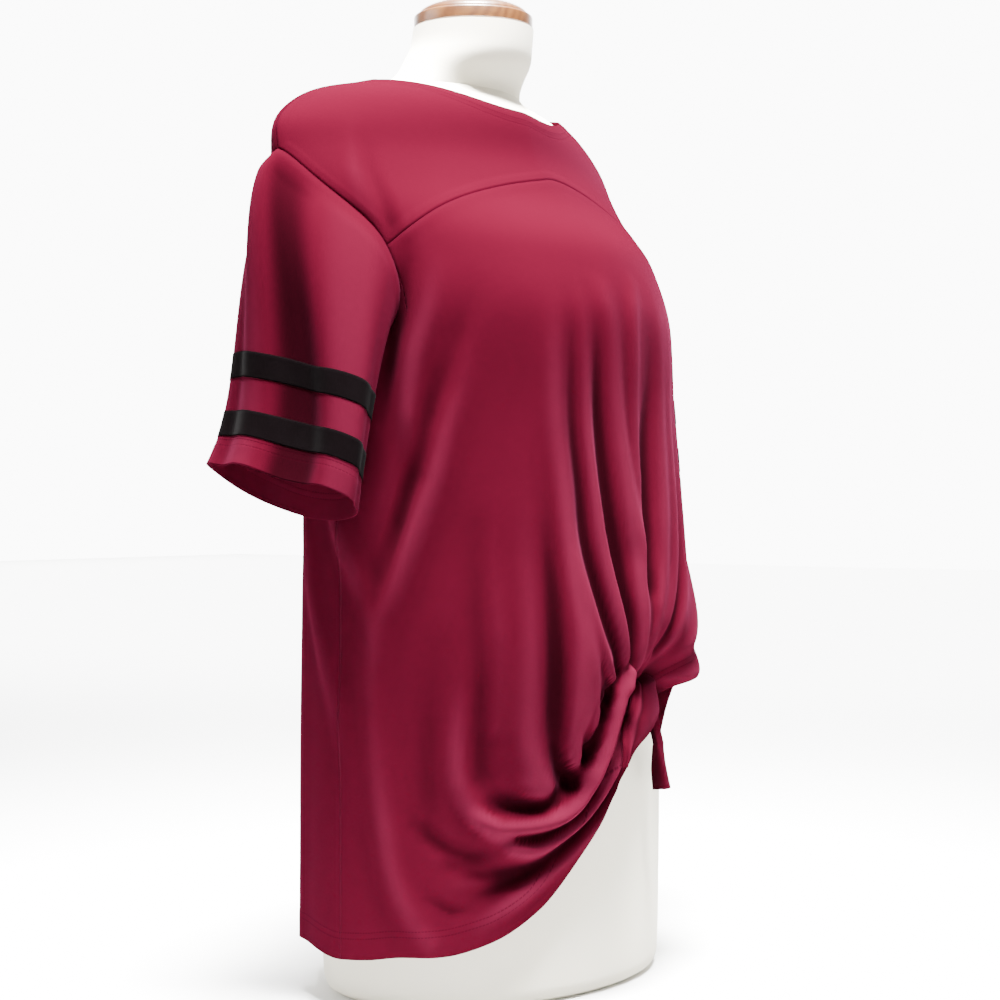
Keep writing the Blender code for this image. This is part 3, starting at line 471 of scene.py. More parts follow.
BACK_DRAPES = (
    Fold("right back drape", ((-20, 0.47), (-25, 0.35), (-28, 0.22), (-31, 0.04)),
         (0.001, 0.004, 0.005, 0.005), (0.026, 0.022, 0.018), Crest.KEEN),
    Fold("hollow by the right drape", ((-36, 0.50), (-41, 0.34), (-43, 0.18), (-44, 0.04)),
         (-0.0005, -0.004, -0.006, -0.007), (0.026, 0.020)),
    Fold("drape off the right blade", ((-52, 0.62), (-57, 0.46), (-60, 0.28), (-61, 0.04)),
         (0.0005, 0.005, 0.008, 0.009), (0.030, 0.024, 0.018), Crest.KEEN),
    Fold("right hollow of the back", ((-72, 0.58), (-75, 0.42), (-76, 0.22), (-75, 0.04)),
         (-0.0005, -0.003, -0.005, -0.005), (0.026, 0.020)),
    Fold("middle drape", ((-86, 0.66), (-89, 0.48), (-93, 0.28), (-92, 0.04)),
         (0.0005, 0.003, 0.005, 0.006), (0.030, 0.024), Crest.KEEN),
    Fold("left hollow of the back", ((-106, 0.60), (-105, 0.42), (-107, 0.22), (-108, 0.04)),
         (-0.0005, -0.003, -0.005, -0.006), (0.026, 0.020)),
    Fold("drape off the left blade", ((-127, 0.61), (-123, 0.45), (-121, 0.27), (-122, 0.04)),
         (0.0005, 0.004, 0.008, 0.009), (0.030, 0.024, 0.018), Crest.KEEN),
    Fold("hollow by the left drape", ((-141, 0.49), (-138, 0.33), (-139, 0.17), (-138, 0.04)),
         (-0.0005, -0.004, -0.006, -0.006), (0.026, 0.020)),
    Fold("left back drape", ((-161, 0.48), (-156, 0.35), (-153, 0.21), (-151, 0.04)),
         (0.001, 0.005, 0.008, 0.008), (0.026, 0.022, 0.018), Crest.KEEN),
    Fold("crease below the right blade", ((-24, 0.585), (-38, 0.545), (-52, 0.53)),
         (-0.003, -0.003, -0.0005), (0.009, 0.012)),
    Fold("crease below the left blade", ((-156, 0.58), (-143, 0.548), (-128, 0.535)),
         (-0.003, -0.003, -0.0005), (0.009, 0.012)),
)


@dataclass(frozen=True)
class Knot:
    """The hollow that the knot pulls into the cloth."""

    turn: float = 97.5
    height: float = 0.256
    depth: float = 0.034
    reach_round: float = 0.046
    reach_up: float = 0.040

    def lift(self, turn: Array, height: Array) -> Array:
        """The hollow's depth at each place, below zero."""
        aside = np.radians(turn - self.turn) * UNROLL / self.reach_round
        above = (height - self.height) / self.reach_up
        return -self.depth * np.exp(-(aside**2) - above**2)


@dataclass(frozen=True)
class ClothForm:
    """The one surface that all body cloth lies on.

    Each of the fold scales is how far about a place its neighbours lie, and how far below
    or above them it has to be for a full valley or ridge, where the jersey's finish paints
    full shade or full highlight.
    """

    body: RingBody = CLOTH_BODY
    form: RingBody = FORM_BODY
    knot: Knot = Knot()
    folds: tuple[Fold, ...] = GATHERS + SWAGS + SIDE_DRAPES + BACK_DRAPES
    clearance: float = 0.0016
    softness: float = 0.0015
    fold_scales: tuple[Pair, ...] = ((0.012, 0.0045), (0.026, 0.0070))

    def relief(self, turn: Array, height: Array) -> Array:
        """Folds and hollow as a lift off the smooth cloth, never into the form.

        Args:
            turn: turns in degrees.
            height: heights in metres, of the same shape.

        Returns:
            The lift in metres.
        """
        shape = sum(fold.lift(turn, height) for fold in self.folds) + self.knot.lift(turn, height)
        across = self.body.place(turn, height) - self.form.place(turn, height)
        room = np.sum(across * self.body.outward(turn, height), axis=-1) - self.clearance
        floor = -np.maximum(room, 0.0)
        return floor + self.softness * np.logaddexp(0.0, (shape - floor) / self.softness)

    def sides_of_folds(self, turn: Array, height: Array) -> Array:
        """Where each place lies among the folds, from -1 in a valley to 1 on a ridge, which the
        jersey's finish paints as shade and highlight.
        """
        here = self.relief(turn, height)
        found = np.zeros(turn.shape)
        for reach, depth in self.fold_scales:
            degrees = math.degrees(reach / UNROLL)
            around = sum(self.relief(turn + side * degrees, height + up * reach)
                         for side, up in ROUND_ABOUT) / len(ROUND_ABOUT)
            share = (here - around) / depth
            found = np.where(np.abs(share) > np.abs(found), share, found)
        return np.sign(found) * smooth_step(np.abs(found))

    def place(self, turn: Array, height: Array) -> Array:
        """Points in the middle of the cloth."""
        lift = self.relief(turn, height)[..., None]
        return self.body.place(turn, height) + self.body.outward(turn, height) * lift


@dataclass(frozen=True)
class Pattern:
    """The outline of the top's pieces, in turns and heights."""

    hem_height: float = 0.050
    hem_dip: float = 0.007
    hem_dip_turn: float = 16.0
    underarm: float = 0.545
    shoulder_point: float = 0.725
    armhole_half_turn: float = 24.0
    neck_half_width: float = 0.119
    neck_x: float = 0.009
    neck_y: float = 0.049
    neck_front: float = 0.091
    neck_back: float = 0.060
    yoke_centre: float = 0.720
    yoke_end: float = 0.643
    yoke_power: float = 1.7
    yoke_turn: float = 97.0
    neck_heights: Pair = (0.74, 0.829)
    halvings: int = 40
    front_hem: tuple[Pair, ...] = (
        (0, 0.043), (10, 0.045), (21, 0.049), (33, 0.050), (46, 0.060), (59, 0.085),
        (70, 0.128), (75, 0.154), (79, 0.178), (84, 0.202), (90, 0.222), (97, 0.234),
        (104, 0.250), (112, 0.263), (124, 0.268), (136, 0.267), (148, 0.259), (154, 0.236),
        (160, 0.180), (166, 0.112), (172, 0.066), (180, 0.043))

    @property
    def arm_heights(self) -> Pair:
        """The armhole's middle height and half its height."""
        return ((self.underarm + self.shoulder_point) / 2,
                (self.shoulder_point - self.underarm) / 2)

    @property
    def yoke_end_psi(self) -> float:
        """Where the yoke seam meets the armhole, in degrees round the armhole."""
        middle, half = self.arm_heights
        return math.degrees(math.acos((middle - self.yoke_end) / half))

    def armhole(self, psi: Array) -> Array:
        """Turn and height round the armhole of the wearer's right side."""
        middle, half = self.arm_heights
        around = np.radians(psi)
        turn = self.armhole_half_turn * np.sin(around)
        return np.stack([turn, middle - half * np.cos(around)], axis=-1)

    def yoke_seam(self, turn: Array) -> Array:
        """Turn and height along the seam between the yoke and the front body."""
        end = float(self.armhole(self.yoke_end_psi)[0])
        to_end = np.where(turn < self.yoke_turn, self.yoke_turn - end, 180 - end - self.yoke_turn)
        aside = np.minimum(np.abs(turn - self.yoke_turn) / to_end, 1)
        height = self.yoke_centre - (self.yoke_centre - self.yoke_end) * aside**self.yoke_power
        return np.stack([turn, height], axis=-1)

    def hem(self, turn: Array) -> Array:
        """Turn and height along the front hem."""
        height = monotone_curve(*zip(*self.front_hem), turn)
        return np.stack([turn, height], axis=-1)

    def back_hem(self, turn: Array) -> Array:
        """Turn and height along the back hem, which dips a little at the side seams."""
        from_seam = np.minimum(turn, 180 - turn) / self.hem_dip_turn
        return np.stack([turn, self.hem_height - self.hem_dip * np.exp(-(from_seam**2))], axis=-1)

    def neckline(self, start: float, end: float, share: Array) -> Array:
        """Turn and height under a curve drawn in plan, found by halving.

        Args:
            start: where the curve starts, in degrees round the neck.
            end: where it ends.
            share: how far along it each place is.

        Returns:
            Turn and height on the last axis.
        """
        around = np.radians(start + (end - start) * share)
        depth = np.where(np.sin(around) > 0, self.neck_front, self.neck_back)
        x = self.neck_x - self.neck_half_width * np.cos(around)
        y = self.neck_y - depth * np.sin(around)
        low, high = (np.full(around.shape, height) for height in self.neck_heights)
        for _ in range(self.halvings):
            height = (low + high) / 2
            power = CLOTH_BODY.read("power", height)
            centre = CLOTH_BODY.read("centre", height)
            reach = np.where(y < centre, CLOTH_BODY.read("front", height),
                             CLOTH_BODY.read("back", height))
            wide = np.abs(x) / CLOTH_BODY.read("half_width", height)
            side = np.sign(-x) * wide ** (power / 2)
            fore = np.sign(centre - y) * np.abs((y - centre) / reach) ** (power / 2)
            outside = side**2 + fore**2 > 1
            high = np.where(outside, height, high)
            low = np.where(outside, low, height)
        return np.stack([np.degrees(np.arctan2(fore, side)), (low + high) / 2], axis=-1)


def shares(lines: int, *dense: tuple[float, float, float]) -> Array:
    """Shares from 0 to 1, with more lines about some places.

    Args:
        lines: how many spans.
        dense: the middle, reach and extra weight of each such place.

    Returns:
        The rising shares.
    """
    at = np.linspace(0, 1, SHARE_STEPS)
    weight = np.ones(len(at))
    for middle, reach, extra in dense:
        weight += extra * np.exp(-(((at - middle) / reach) ** 2))
    run = np.concatenate(([0.0], np.cumsum((weight[1:] + weight[:-1]) / 2)))
    return np.interp(np.linspace(0, run[-1], lines + 1), run, at)


def join_edges(*edges: Array) -> Array:
    """Put edges end to end, each shared corner once."""
    return np.concatenate([edges[0]] + [edge[1:] for edge in edges[1:]])


def ruled(bottom: Array, top: Array, share: Array) -> Array:
    """Fill a panel with straight columns from its bottom edge to its top edge."""
    share = share[:, None, None]
    return (1 - share) * bottom[None] + share * top[None]


def gap_to(line: Array, points: Array) -> Array:
    """Metres from each point of a grid to a line.

    Args:
        line: rows of points along the line.
        points: the grid, with X, Y and Z on the last axis.

    Returns:
        The distances, of the grid's shape.
    """
    steps = np.linalg.norm(np.diff(line, axis=0), axis=1)
    run = np.concatenate(([0.0], np.cumsum(steps)))
    at = np.arange(0, run[-1], LINE_STEP)
    fine = np.stack([np.interp(at, run, line[:, k]) for k in range(3)], axis=-1)
    tree = KDTree(len(fine))
    for k, point in enumerate(fine):
        tree.insert(point, k)
    tree.balance()
    flat = points.reshape(-1, 3)
    return np.array([tree.find(point)[2] for point in flat]).reshape(points.shape[:-1])


def run_along(points: Array, axis: int) -> Array:
    """Metres travelled along one axis of a grid of points."""
    steps = np.linalg.norm(np.diff(points, axis=axis), axis=-1)
    return np.concatenate([np.zeros_like(np.take(steps, [0], axis=axis)),
                           np.cumsum(steps, axis=axis)], axis=axis)


@dataclass
class Graph:
    """The shader nodes of one material."""

    name: str
    material: bpy.types.Material = field(init=False)

    def __post_init__(self) -> None:
        """Start the material from a plain Principled shader."""
        self.material = bpy.data.materials.new(self.name)
        self.material.use_nodes = True
        self.shader = self.material.node_tree.nodes["Principled BSDF"]

    def feed(self, socket: Socket, value: object) -> None:
        """Link a socket from another one, or set its value."""
        if isinstance(value, Socket):
            self.material.node_tree.links.new(value, socket)
        else:
            socket.default_value = value

    def add(self, kind: str, inputs: dict | None = None, **settings: object) -> bpy.types.Node:
        """Add a node.

        Args:
            kind: the node's type name, without what all shader nodes start with.
            inputs: sockets to set, or to link from another socket.
            settings: properties of the node.

        Returns:
            The new node.
        """
        node = self.material.node_tree.nodes.new("ShaderNode" + kind)
        for key, value in settings.items():
            setattr(node, key, value)
        for key, value in (inputs or {}).items():
            self.feed(node.inputs[key], value)
        return node

    def maths(self, operation: str, *values: object) -> Socket:
        """Add a Math node and return its result."""
        return self.add("Math", dict(enumerate(values)), operation=operation).outputs[0]

    def attribute(self, name: str) -> Socket:
        """Read one number that is stored on the piece's points."""
        return self.add("Attribute", attribute_name=name).outputs["Fac"]

    def weave(self) -> Socket:
        """Read the metres along the cloth and up it."""
        return self.add("UVMap", uv_map="weave").outputs[0]

    def place(self) -> Socket:
        """Read the place on the object."""
        return self.add("TexCoord").outputs["Object"]

    def noise(self, coordinates: Socket, scale: float, detail: float = 2.0) -> Socket:
        """A noise pattern on the given coordinates."""
        inputs = {"Vector": coordinates, "Scale": scale, "Detail": detail}
        return self.add("TexNoise", inputs).outputs["Fac"]

    def ribs(self, weave: Socket, pitch: float, wander: float, detail: float) -> Socket:
        """Fine ribs across the weave, a pitch apart in metres."""
        inputs = {"Vector": weave, "Scale": math.pi / 10 / pitch, "Distortion": wander,
                  "Detail": detail}
        return self.add("TexWave", inputs).outputs["Fac"]

    def mix(self, share: object, first: object, second: object) -> Socket:
        """Mix two colours."""
        return self.add("Mix", {0: share, 6: first, 7: second}, data_type="RGBA").outputs[2]

    def tint(self, colour: Socket, where: Socket, share: float, shade: Colour) -> Socket:
        """Mix a shade into a colour where a number is above 0, by a share of the number."""
        above = self.maths("MULTIPLY", self.maths("MAXIMUM", where, 0.0), share)
        return self.mix(above, colour, shade)

    def between(self, value: Socket, low: float, high: float) -> Socket:
        """Spread a 0 to 1 value between two numbers."""
        return self.add("MapRange", {0: value, 3: low, 4: high}).outputs[0]

    def line_at(self, gap: Socket, centre: float, half: float) -> Socket:
        """1 on a line at a distance from an edge, falling to 0 over its half width."""
        off = self.maths("ABSOLUTE", self.maths("SUBTRACT", gap, centre))
        inside = self.maths("SUBTRACT", 1.0, self.maths("DIVIDE", off, half))
        return self.maths("MAXIMUM", inside, 0.0)

    def stitches(self, line: Socket, weave: Socket, pitch: float, gap: float) -> Socket:
        """Break a line along the weave into stitches, with a gap in each pitch."""
        along = self.add("SeparateXYZ", {0: weave}).outputs[0]
        share = self.maths("FRACT", self.maths("DIVIDE", along, pitch))
        return self.maths("MULTIPLY", line, self.maths("GREATER_THAN", share, gap))

    def bump(self, height: Socket, distance: float, strength: float,
             below: Socket | None = None) -> Socket:
        """Bump the surface by a height, on top of another bump if one is given."""
        inputs = {"Height": height, "Distance": distance, "Strength": strength}
        if below is not None:
            inputs["Normal"] = below
        return self.add("Bump", inputs).outputs[0]

    def dress(self, **sockets: object) -> bpy.types.Material:
        """Set or link the shader's sockets, their spaces written as underscores."""
        for key, value in sockets.items():
            self.feed(self.shader.inputs[key.replace("_", " ")], value)
        return self.material


@dataclass(frozen=True)
class JerseyFinish:
    """Smooth wine jersey: fine wales, a soft sheen, darker sewn lines and hem stitches, with
    painted shade in fold valleys and painted highlight on fold ridges.
    """

    name: str = "wine_jersey"
    slot: str = "jersey"
    colour: Colour = (0.0225, 0.0011, 0.0039, 1.0)
    deep: Colour = (0.0168, 0.0008, 0.0029, 1.0)
    sewn: Colour = (0.005, 0.0001, 0.0008, 1.0)
    # Painted shade mixed into fold valleys and painted highlight mixed onto fold ridges.
    valley: Colour = (0.0026, 0.0003, 0.0006, 1.0)
    ridge: Colour = (0.0420, 0.0038, 0.0105, 1.0)
    sheen: Colour = (1.0, 0.16, 0.38, 1.0)
    wale: float = 0.0010
    stitch: float = 0.0032
    stitch_gap: float = 0.28
    stitch_lines: Pair = (0.0175, 0.0225)
    thread_half: float = 0.0007
    cloud_scale: float = 9.0
    cloud_reach: float = 0.55
    fuzz_scale: float = 420.0
    fuzz_share: float = 0.22
    ridge_highlight_share: float = 0.6
    valley_shade_share: float = 0.85
    sewn_share: float = 0.6
    thread_share: float = 0.55
    wale_relief: float = 0.00004
    fuzz_relief: float = 0.00012
    stitch_relief: float = 0.00015

    def material(self) -> bpy.types.Material:
        """Build the jersey's nodes."""
        g = Graph(self.name)
        weave, place = g.weave(), g.place()
        fuzz = g.noise(place, self.fuzz_scale, 3.0)
        clouds = g.between(g.noise(place, self.cloud_scale, 3.0), 0.0, self.cloud_reach)
        fold, gap = g.attribute("fold"), g.attribute("hem_gap")
        threads = g.maths("MAXIMUM", *(g.line_at(gap, line, self.thread_half)
                                       for line in self.stitch_lines))
        stitches = g.stitches(threads, weave, self.stitch, self.stitch_gap)
        colour = g.mix(clouds, self.colour, self.deep)
        colour = g.tint(colour, fuzz, self.fuzz_share, self.deep)
        # Painted highlight on ridges and painted shade in valleys, by the 'fold' number.
        colour = g.tint(colour, fold, self.ridge_highlight_share, self.ridge)
        colour = g.tint(colour, g.maths("MULTIPLY", fold, -1.0), self.valley_shade_share, self.valley)
        colour = g.tint(colour, g.attribute("sewn"), self.sewn_share, self.sewn)
        colour = g.tint(colour, stitches, self.thread_share, self.sewn)
        knit = g.bump(g.ribs(weave, self.wale, 0.6, 1.0), self.wale_relief, 0.6)
        knit = g.bump(fuzz, self.fuzz_relief, 0.5, knit)
        knit = g.bump(g.maths("SUBTRACT", 1.0, threads), self.stitch_relief, 0.7, knit)
        return g.dress(Base_Color=colour, Normal=knit, Roughness=g.between(fuzz, 0.50, 0.64),
                       Specular_IOR_Level=0.0, Sheen_Weight=0.02, Sheen_Roughness=0.40,
                       Sheen_Tint=self.sheen)


@dataclass(frozen=True)
class SatinFinish:
    """Black satin ribbon with a fine cross rib and stitched edges."""

    name: str = "black_satin"
    slot: str = "satin_band"
    colour: Colour = (0.0011, 0.0007, 0.0008, 1.0)
    worn: Colour = (0.0019, 0.0014, 0.0016, 1.0)
    rib: float = 0.0008
    stitch: float = 0.0028
    stitch_gap: float = 0.3
    stitch_line: float = 0.0016
    thread_half: float = 0.0006
    thread_share: float = 0.6
    cloud_scale: float = 60.0
    cloud_reach: float = 0.6
    rib_relief: float = 0.00004
    stitch_relief: float = 0.0001

    def material(self) -> bpy.types.Material:
        """Build the satin's nodes."""
        g = Graph(self.name)
        weave = g.weave()
        clouds = g.noise(g.place(), self.cloud_scale)
        thread = g.line_at(g.attribute("edge_gap"), self.stitch_line, self.thread_half)
        stitches = g.stitches(thread, weave, self.stitch, self.stitch_gap)
        colour = g.mix(g.between(clouds, 0.0, self.cloud_reach), self.colour, self.worn)
        colour = g.tint(colour, stitches, self.thread_share, self.worn)
        ribbed = g.bump(g.ribs(weave, self.rib, 0.3, 2.0), self.rib_relief, 0.5)
        ribbed = g.bump(g.maths("SUBTRACT", 1.0, thread), self.stitch_relief, 0.6, ribbed)
        return g.dress(Base_Color=colour, Normal=ribbed, Roughness=g.between(clouds, 0.36, 0.48),
                       Specular_IOR_Level=0.0, Sheen_Weight=0.006, Sheen_Roughness=0.4)


@dataclass(frozen=True)
class CoverFinish:
    """Cream knit drawn smooth over the form."""

    name: str = "cream_form_cover"
    slot: str = "form_cover"
    colour: Colour = (0.96, 0.91, 0.76, 1.0)
    shade: Colour = (0.93, 0.87, 0.71, 1.0)
    cloud_scale: float = 7.0
    knit_scale: float = 900.0
    knit_relief: float = 0.00012
    fuzz_scale: float = 300.0

    def material(self) -> bpy.types.Material:
        """Build the cover's nodes."""
        g = Graph(self.name)
        place = g.place()
        clouds = g.between(g.noise(place, self.cloud_scale, 3.0), 0.0, 0.5)
        knit = g.add("TexVoronoi", {"Vector": place, "Scale": self.knit_scale}).outputs["Distance"]
        return g.dress(Base_Color=g.mix(clouds, self.colour, self.shade),
                       Normal=g.bump(knit, self.knit_relief, 0.5),
                       Roughness=g.between(g.noise(place, self.fuzz_scale), 0.74, 0.88),
                       Specular_IOR_Level=0.2, Sheen_Weight=0.15)


@dataclass(frozen=True)
class WoodFinish:
    """Honey-varnished turned wood."""

    name: str = "honey_wood"
    slot: str = "cap_wood"
    pale: Colour = (0.105, 0.040, 0.0085, 1.0)
    dark: Colour = (0.048, 0.013, 0.0025, 1.0)
    heart: tuple[float, float, float] = (0.13, 0.02, -0.80)
    grain_turn: tuple[float, float, float] = (0.25, 1.15, 0.3)
    ring_scale: float = 38.0
    pore_scale: tuple[float, float, float] = (60.0, 900.0, 900.0)
    pore_relief: float = 0.00015

    def material(self) -> bpy.types.Material:
        """Build the wood's nodes."""
        g = Graph(self.name)
        place = g.place()
        board = g.add("Mapping", {"Vector": place, "Location": self.heart,
                                  "Rotation": self.grain_turn}).outputs[0]
        rings = g.add("TexWave", {"Vector": board, "Scale": self.ring_scale, "Distortion": 5.0,
                                  "Detail": 3.0, "Detail Scale": 1.4},
                      wave_type="RINGS").outputs["Fac"]
        stretched = g.add("Mapping", {"Vector": place, "Scale": self.pore_scale}).outputs[0]
        pores = g.noise(stretched, 1.0, 4.0)
        colour = g.mix(g.between(rings, 0.05, 0.75), self.pale, self.dark)
        colour = g.mix(g.between(pores, 0.0, 0.35), colour, self.dark)
        return g.dress(Base_Color=colour, Normal=g.bump(pores, self.pore_relief, 0.4),
                       Roughness=g.between(pores, 0.30, 0.44), Coat_Weight=0.35,
                       Coat_Roughness=0.18)


@dataclass(frozen=True)
class FloorFinish:
    """A plain pale floor."""

    name: str = "pale_floor"
    colour: Colour = (0.93, 0.93, 0.925, 1.0)

    def material(self) -> bpy.types.Material:
        """Build the floor's nodes."""
        return Graph(self.name).dress(Base_Color=self.colour, Roughness=0.9,
                                      Specular_IOR_Level=0.1)


Finish = JerseyFinish | SatinFinish | CoverFinish | WoodFinish | FloorFinish


@dataclass
class Wardrobe:
    """The finishes of the whole object, each made once."""

    jersey: JerseyFinish = JerseyFinish()
    satin: SatinFinish = SatinFinish()
    cover: CoverFinish = CoverFinish()
    wood: WoodFinish = WoodFinish()
    floor: FloorFinish = FloorFinish()
    made: dict[str, bpy.types.Material] = field(default_factory=dict)

    def material(self, finish: Finish) -> bpy.types.Material:
        """The material of a finish."""
        if finish.name not in self.made:
            self.made[finish.name] = finish.material()
        return self.made[finish.name]


def lay_grid(mesh: BMesh, points: Array) -> dict[bmesh.types.BMVert, tuple[int, int]]:
    """Add a grid to a bmesh and move its corners to the given points.

    Args:
        mesh: the bmesh, which keeps what it already holds.
        points: rows and columns of points.

    Returns:
        The row and column of each new vertex.
    """
    rows, columns = points.shape[:2]
    laid = bmesh.ops.create_grid(mesh, x_segments=columns - 1, y_segments=rows - 1, size=0.5)
    seats = {}
    for vert in laid["verts"]:
        row, column = (vert.co.y + 0.5) * (rows - 1), (vert.co.x + 0.5) * (columns - 1)
        seats[vert] = round(row), round(column)
        vert.co = points[seats[vert]]
    return seats


def new_piece(name: str, mesh: BMesh, material: bpy.types.Material) -> bpy.types.Object:
    """Turn a bmesh into a smooth piece at the origin.

    Args:
        name: the piece's name.
        mesh: its bmesh, which is freed.
        material: its finish.

    Returns:
        The new object, linked to the scene.
    """
    data = bpy.data.meshes.new(name)
    mesh.to_mesh(data)
    mesh.free()
    data.materials.append(material)
    data.shade_smooth()
    piece = bpy.data.objects.new(name, data)
    bpy.context.scene.collection.objects.link(piece)
    return piece


def stand_for(piece: bpy.types.Object, node: str) -> None:
    """Ride a piece on the one body, in place of its solid, and log it.

    Args:
        piece: the piece.
        node: the solid that it stands for.
    """
    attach(piece, "root")
    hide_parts(node)
    LOG.info("%s: %d faces", piece.name, len(piece.data.polygons))


@dataclass
class Patch:
    """A grid of points on a piece of cloth, with rows up and columns round."""

    points: Array
    numbers: dict[str, Array]
    weave: Array | None = None

    def fill(self, mesh: BMesh) -> None:
        """Lay the grid into a bmesh, with its weave and its numbers.

        Args:
            mesh: the bmesh, which keeps what it already holds.
        """
        weave = self.weave
        if weave is None:
            weave = np.stack([run_along(self.points, 1), run_along(self.points, 0)], axis=-1)
        uv_layer = mesh.loops.layers.uv["weave"]
        seats = lay_grid(mesh, self.points)
        for key, numbers in self.numbers.items():
            layer = mesh.verts.layers.float[key]
            for vert, seat in seats.items():
                vert[layer] = numbers[seat]
        for face in {face for vert in seats for face in vert.link_faces}:
            for loop in face.loops:
                loop[uv_layer].uv = weave[seats[loop.vert]]


@dataclass
class ClothPiece:
    """A sheet of cloth made of one or more patches that share their edges."""

    name: str
    node: str
    patches: tuple[Patch, ...]
    finish: Finish
    flat: Pair
    area: float
    held: Held
    rests_on: tuple[str, ...]
    thickness: float = CLOTH_THICKNESS

    def build(self, wardrobe: Wardrobe) -> None:
        """Args:
            wardrobe: where its finish is made.
        """
        mesh = bmesh.new()
        mesh.loops.layers.uv.new("weave")
        for key in self.patches[0].numbers:
            mesh.verts.layers.float.new(key)
        for patch in self.patches:
            patch.fill(mesh)
        bmesh.ops.remove_doubles(mesh, verts=mesh.verts, dist=SAME_POINT)
        self.face_out(mesh)
        piece = new_piece(self.name, mesh, wardrobe.material(self.finish))
        wall = piece.modifiers.new("thickness", "SOLIDIFY")
        wall.thickness = self.thickness
        wall.offset = 0.0
        stand_for(piece, self.node)

    @staticmethod
    def face_out(mesh: BMesh) -> None:
        """Turn the faces away from an upright line between the piece and the body's own."""
        middle = sum((vert.co for vert in mesh.verts), Vector()) / len(mesh.verts)
        inside = Vector((middle.x * INSIDE_SHARE, INSIDE_Y, middle.z))
        mesh.normal_update()
        outward = sum((face.calc_center_median() - inside).dot(face.normal) * face.calc_area()
                      for face in mesh.faces)
        if outward < 0:
            bmesh.ops.reverse_faces(mesh, faces=mesh.faces)


def seam_relief(gap: Array, groove: float = 0.0004, welt: float = 0.0004) -> Array:
    """The groove of a sewn seam and the soft welt of its turned edge.

    Args:
        gap: metres from the seam.
        groove: how deep the stitched line lies.
        welt: how far the turned edge under the cloth lifts it.

    Returns:
        The lift in metres.
    """
    rise = smooth_step(gap / (2 * SEAM_HALF)) * smooth_step((WELT_WIDTH - gap) / WELT_FADE)
    return welt * rise - groove * np.exp(-((gap / SEAM_HALF) ** 2))


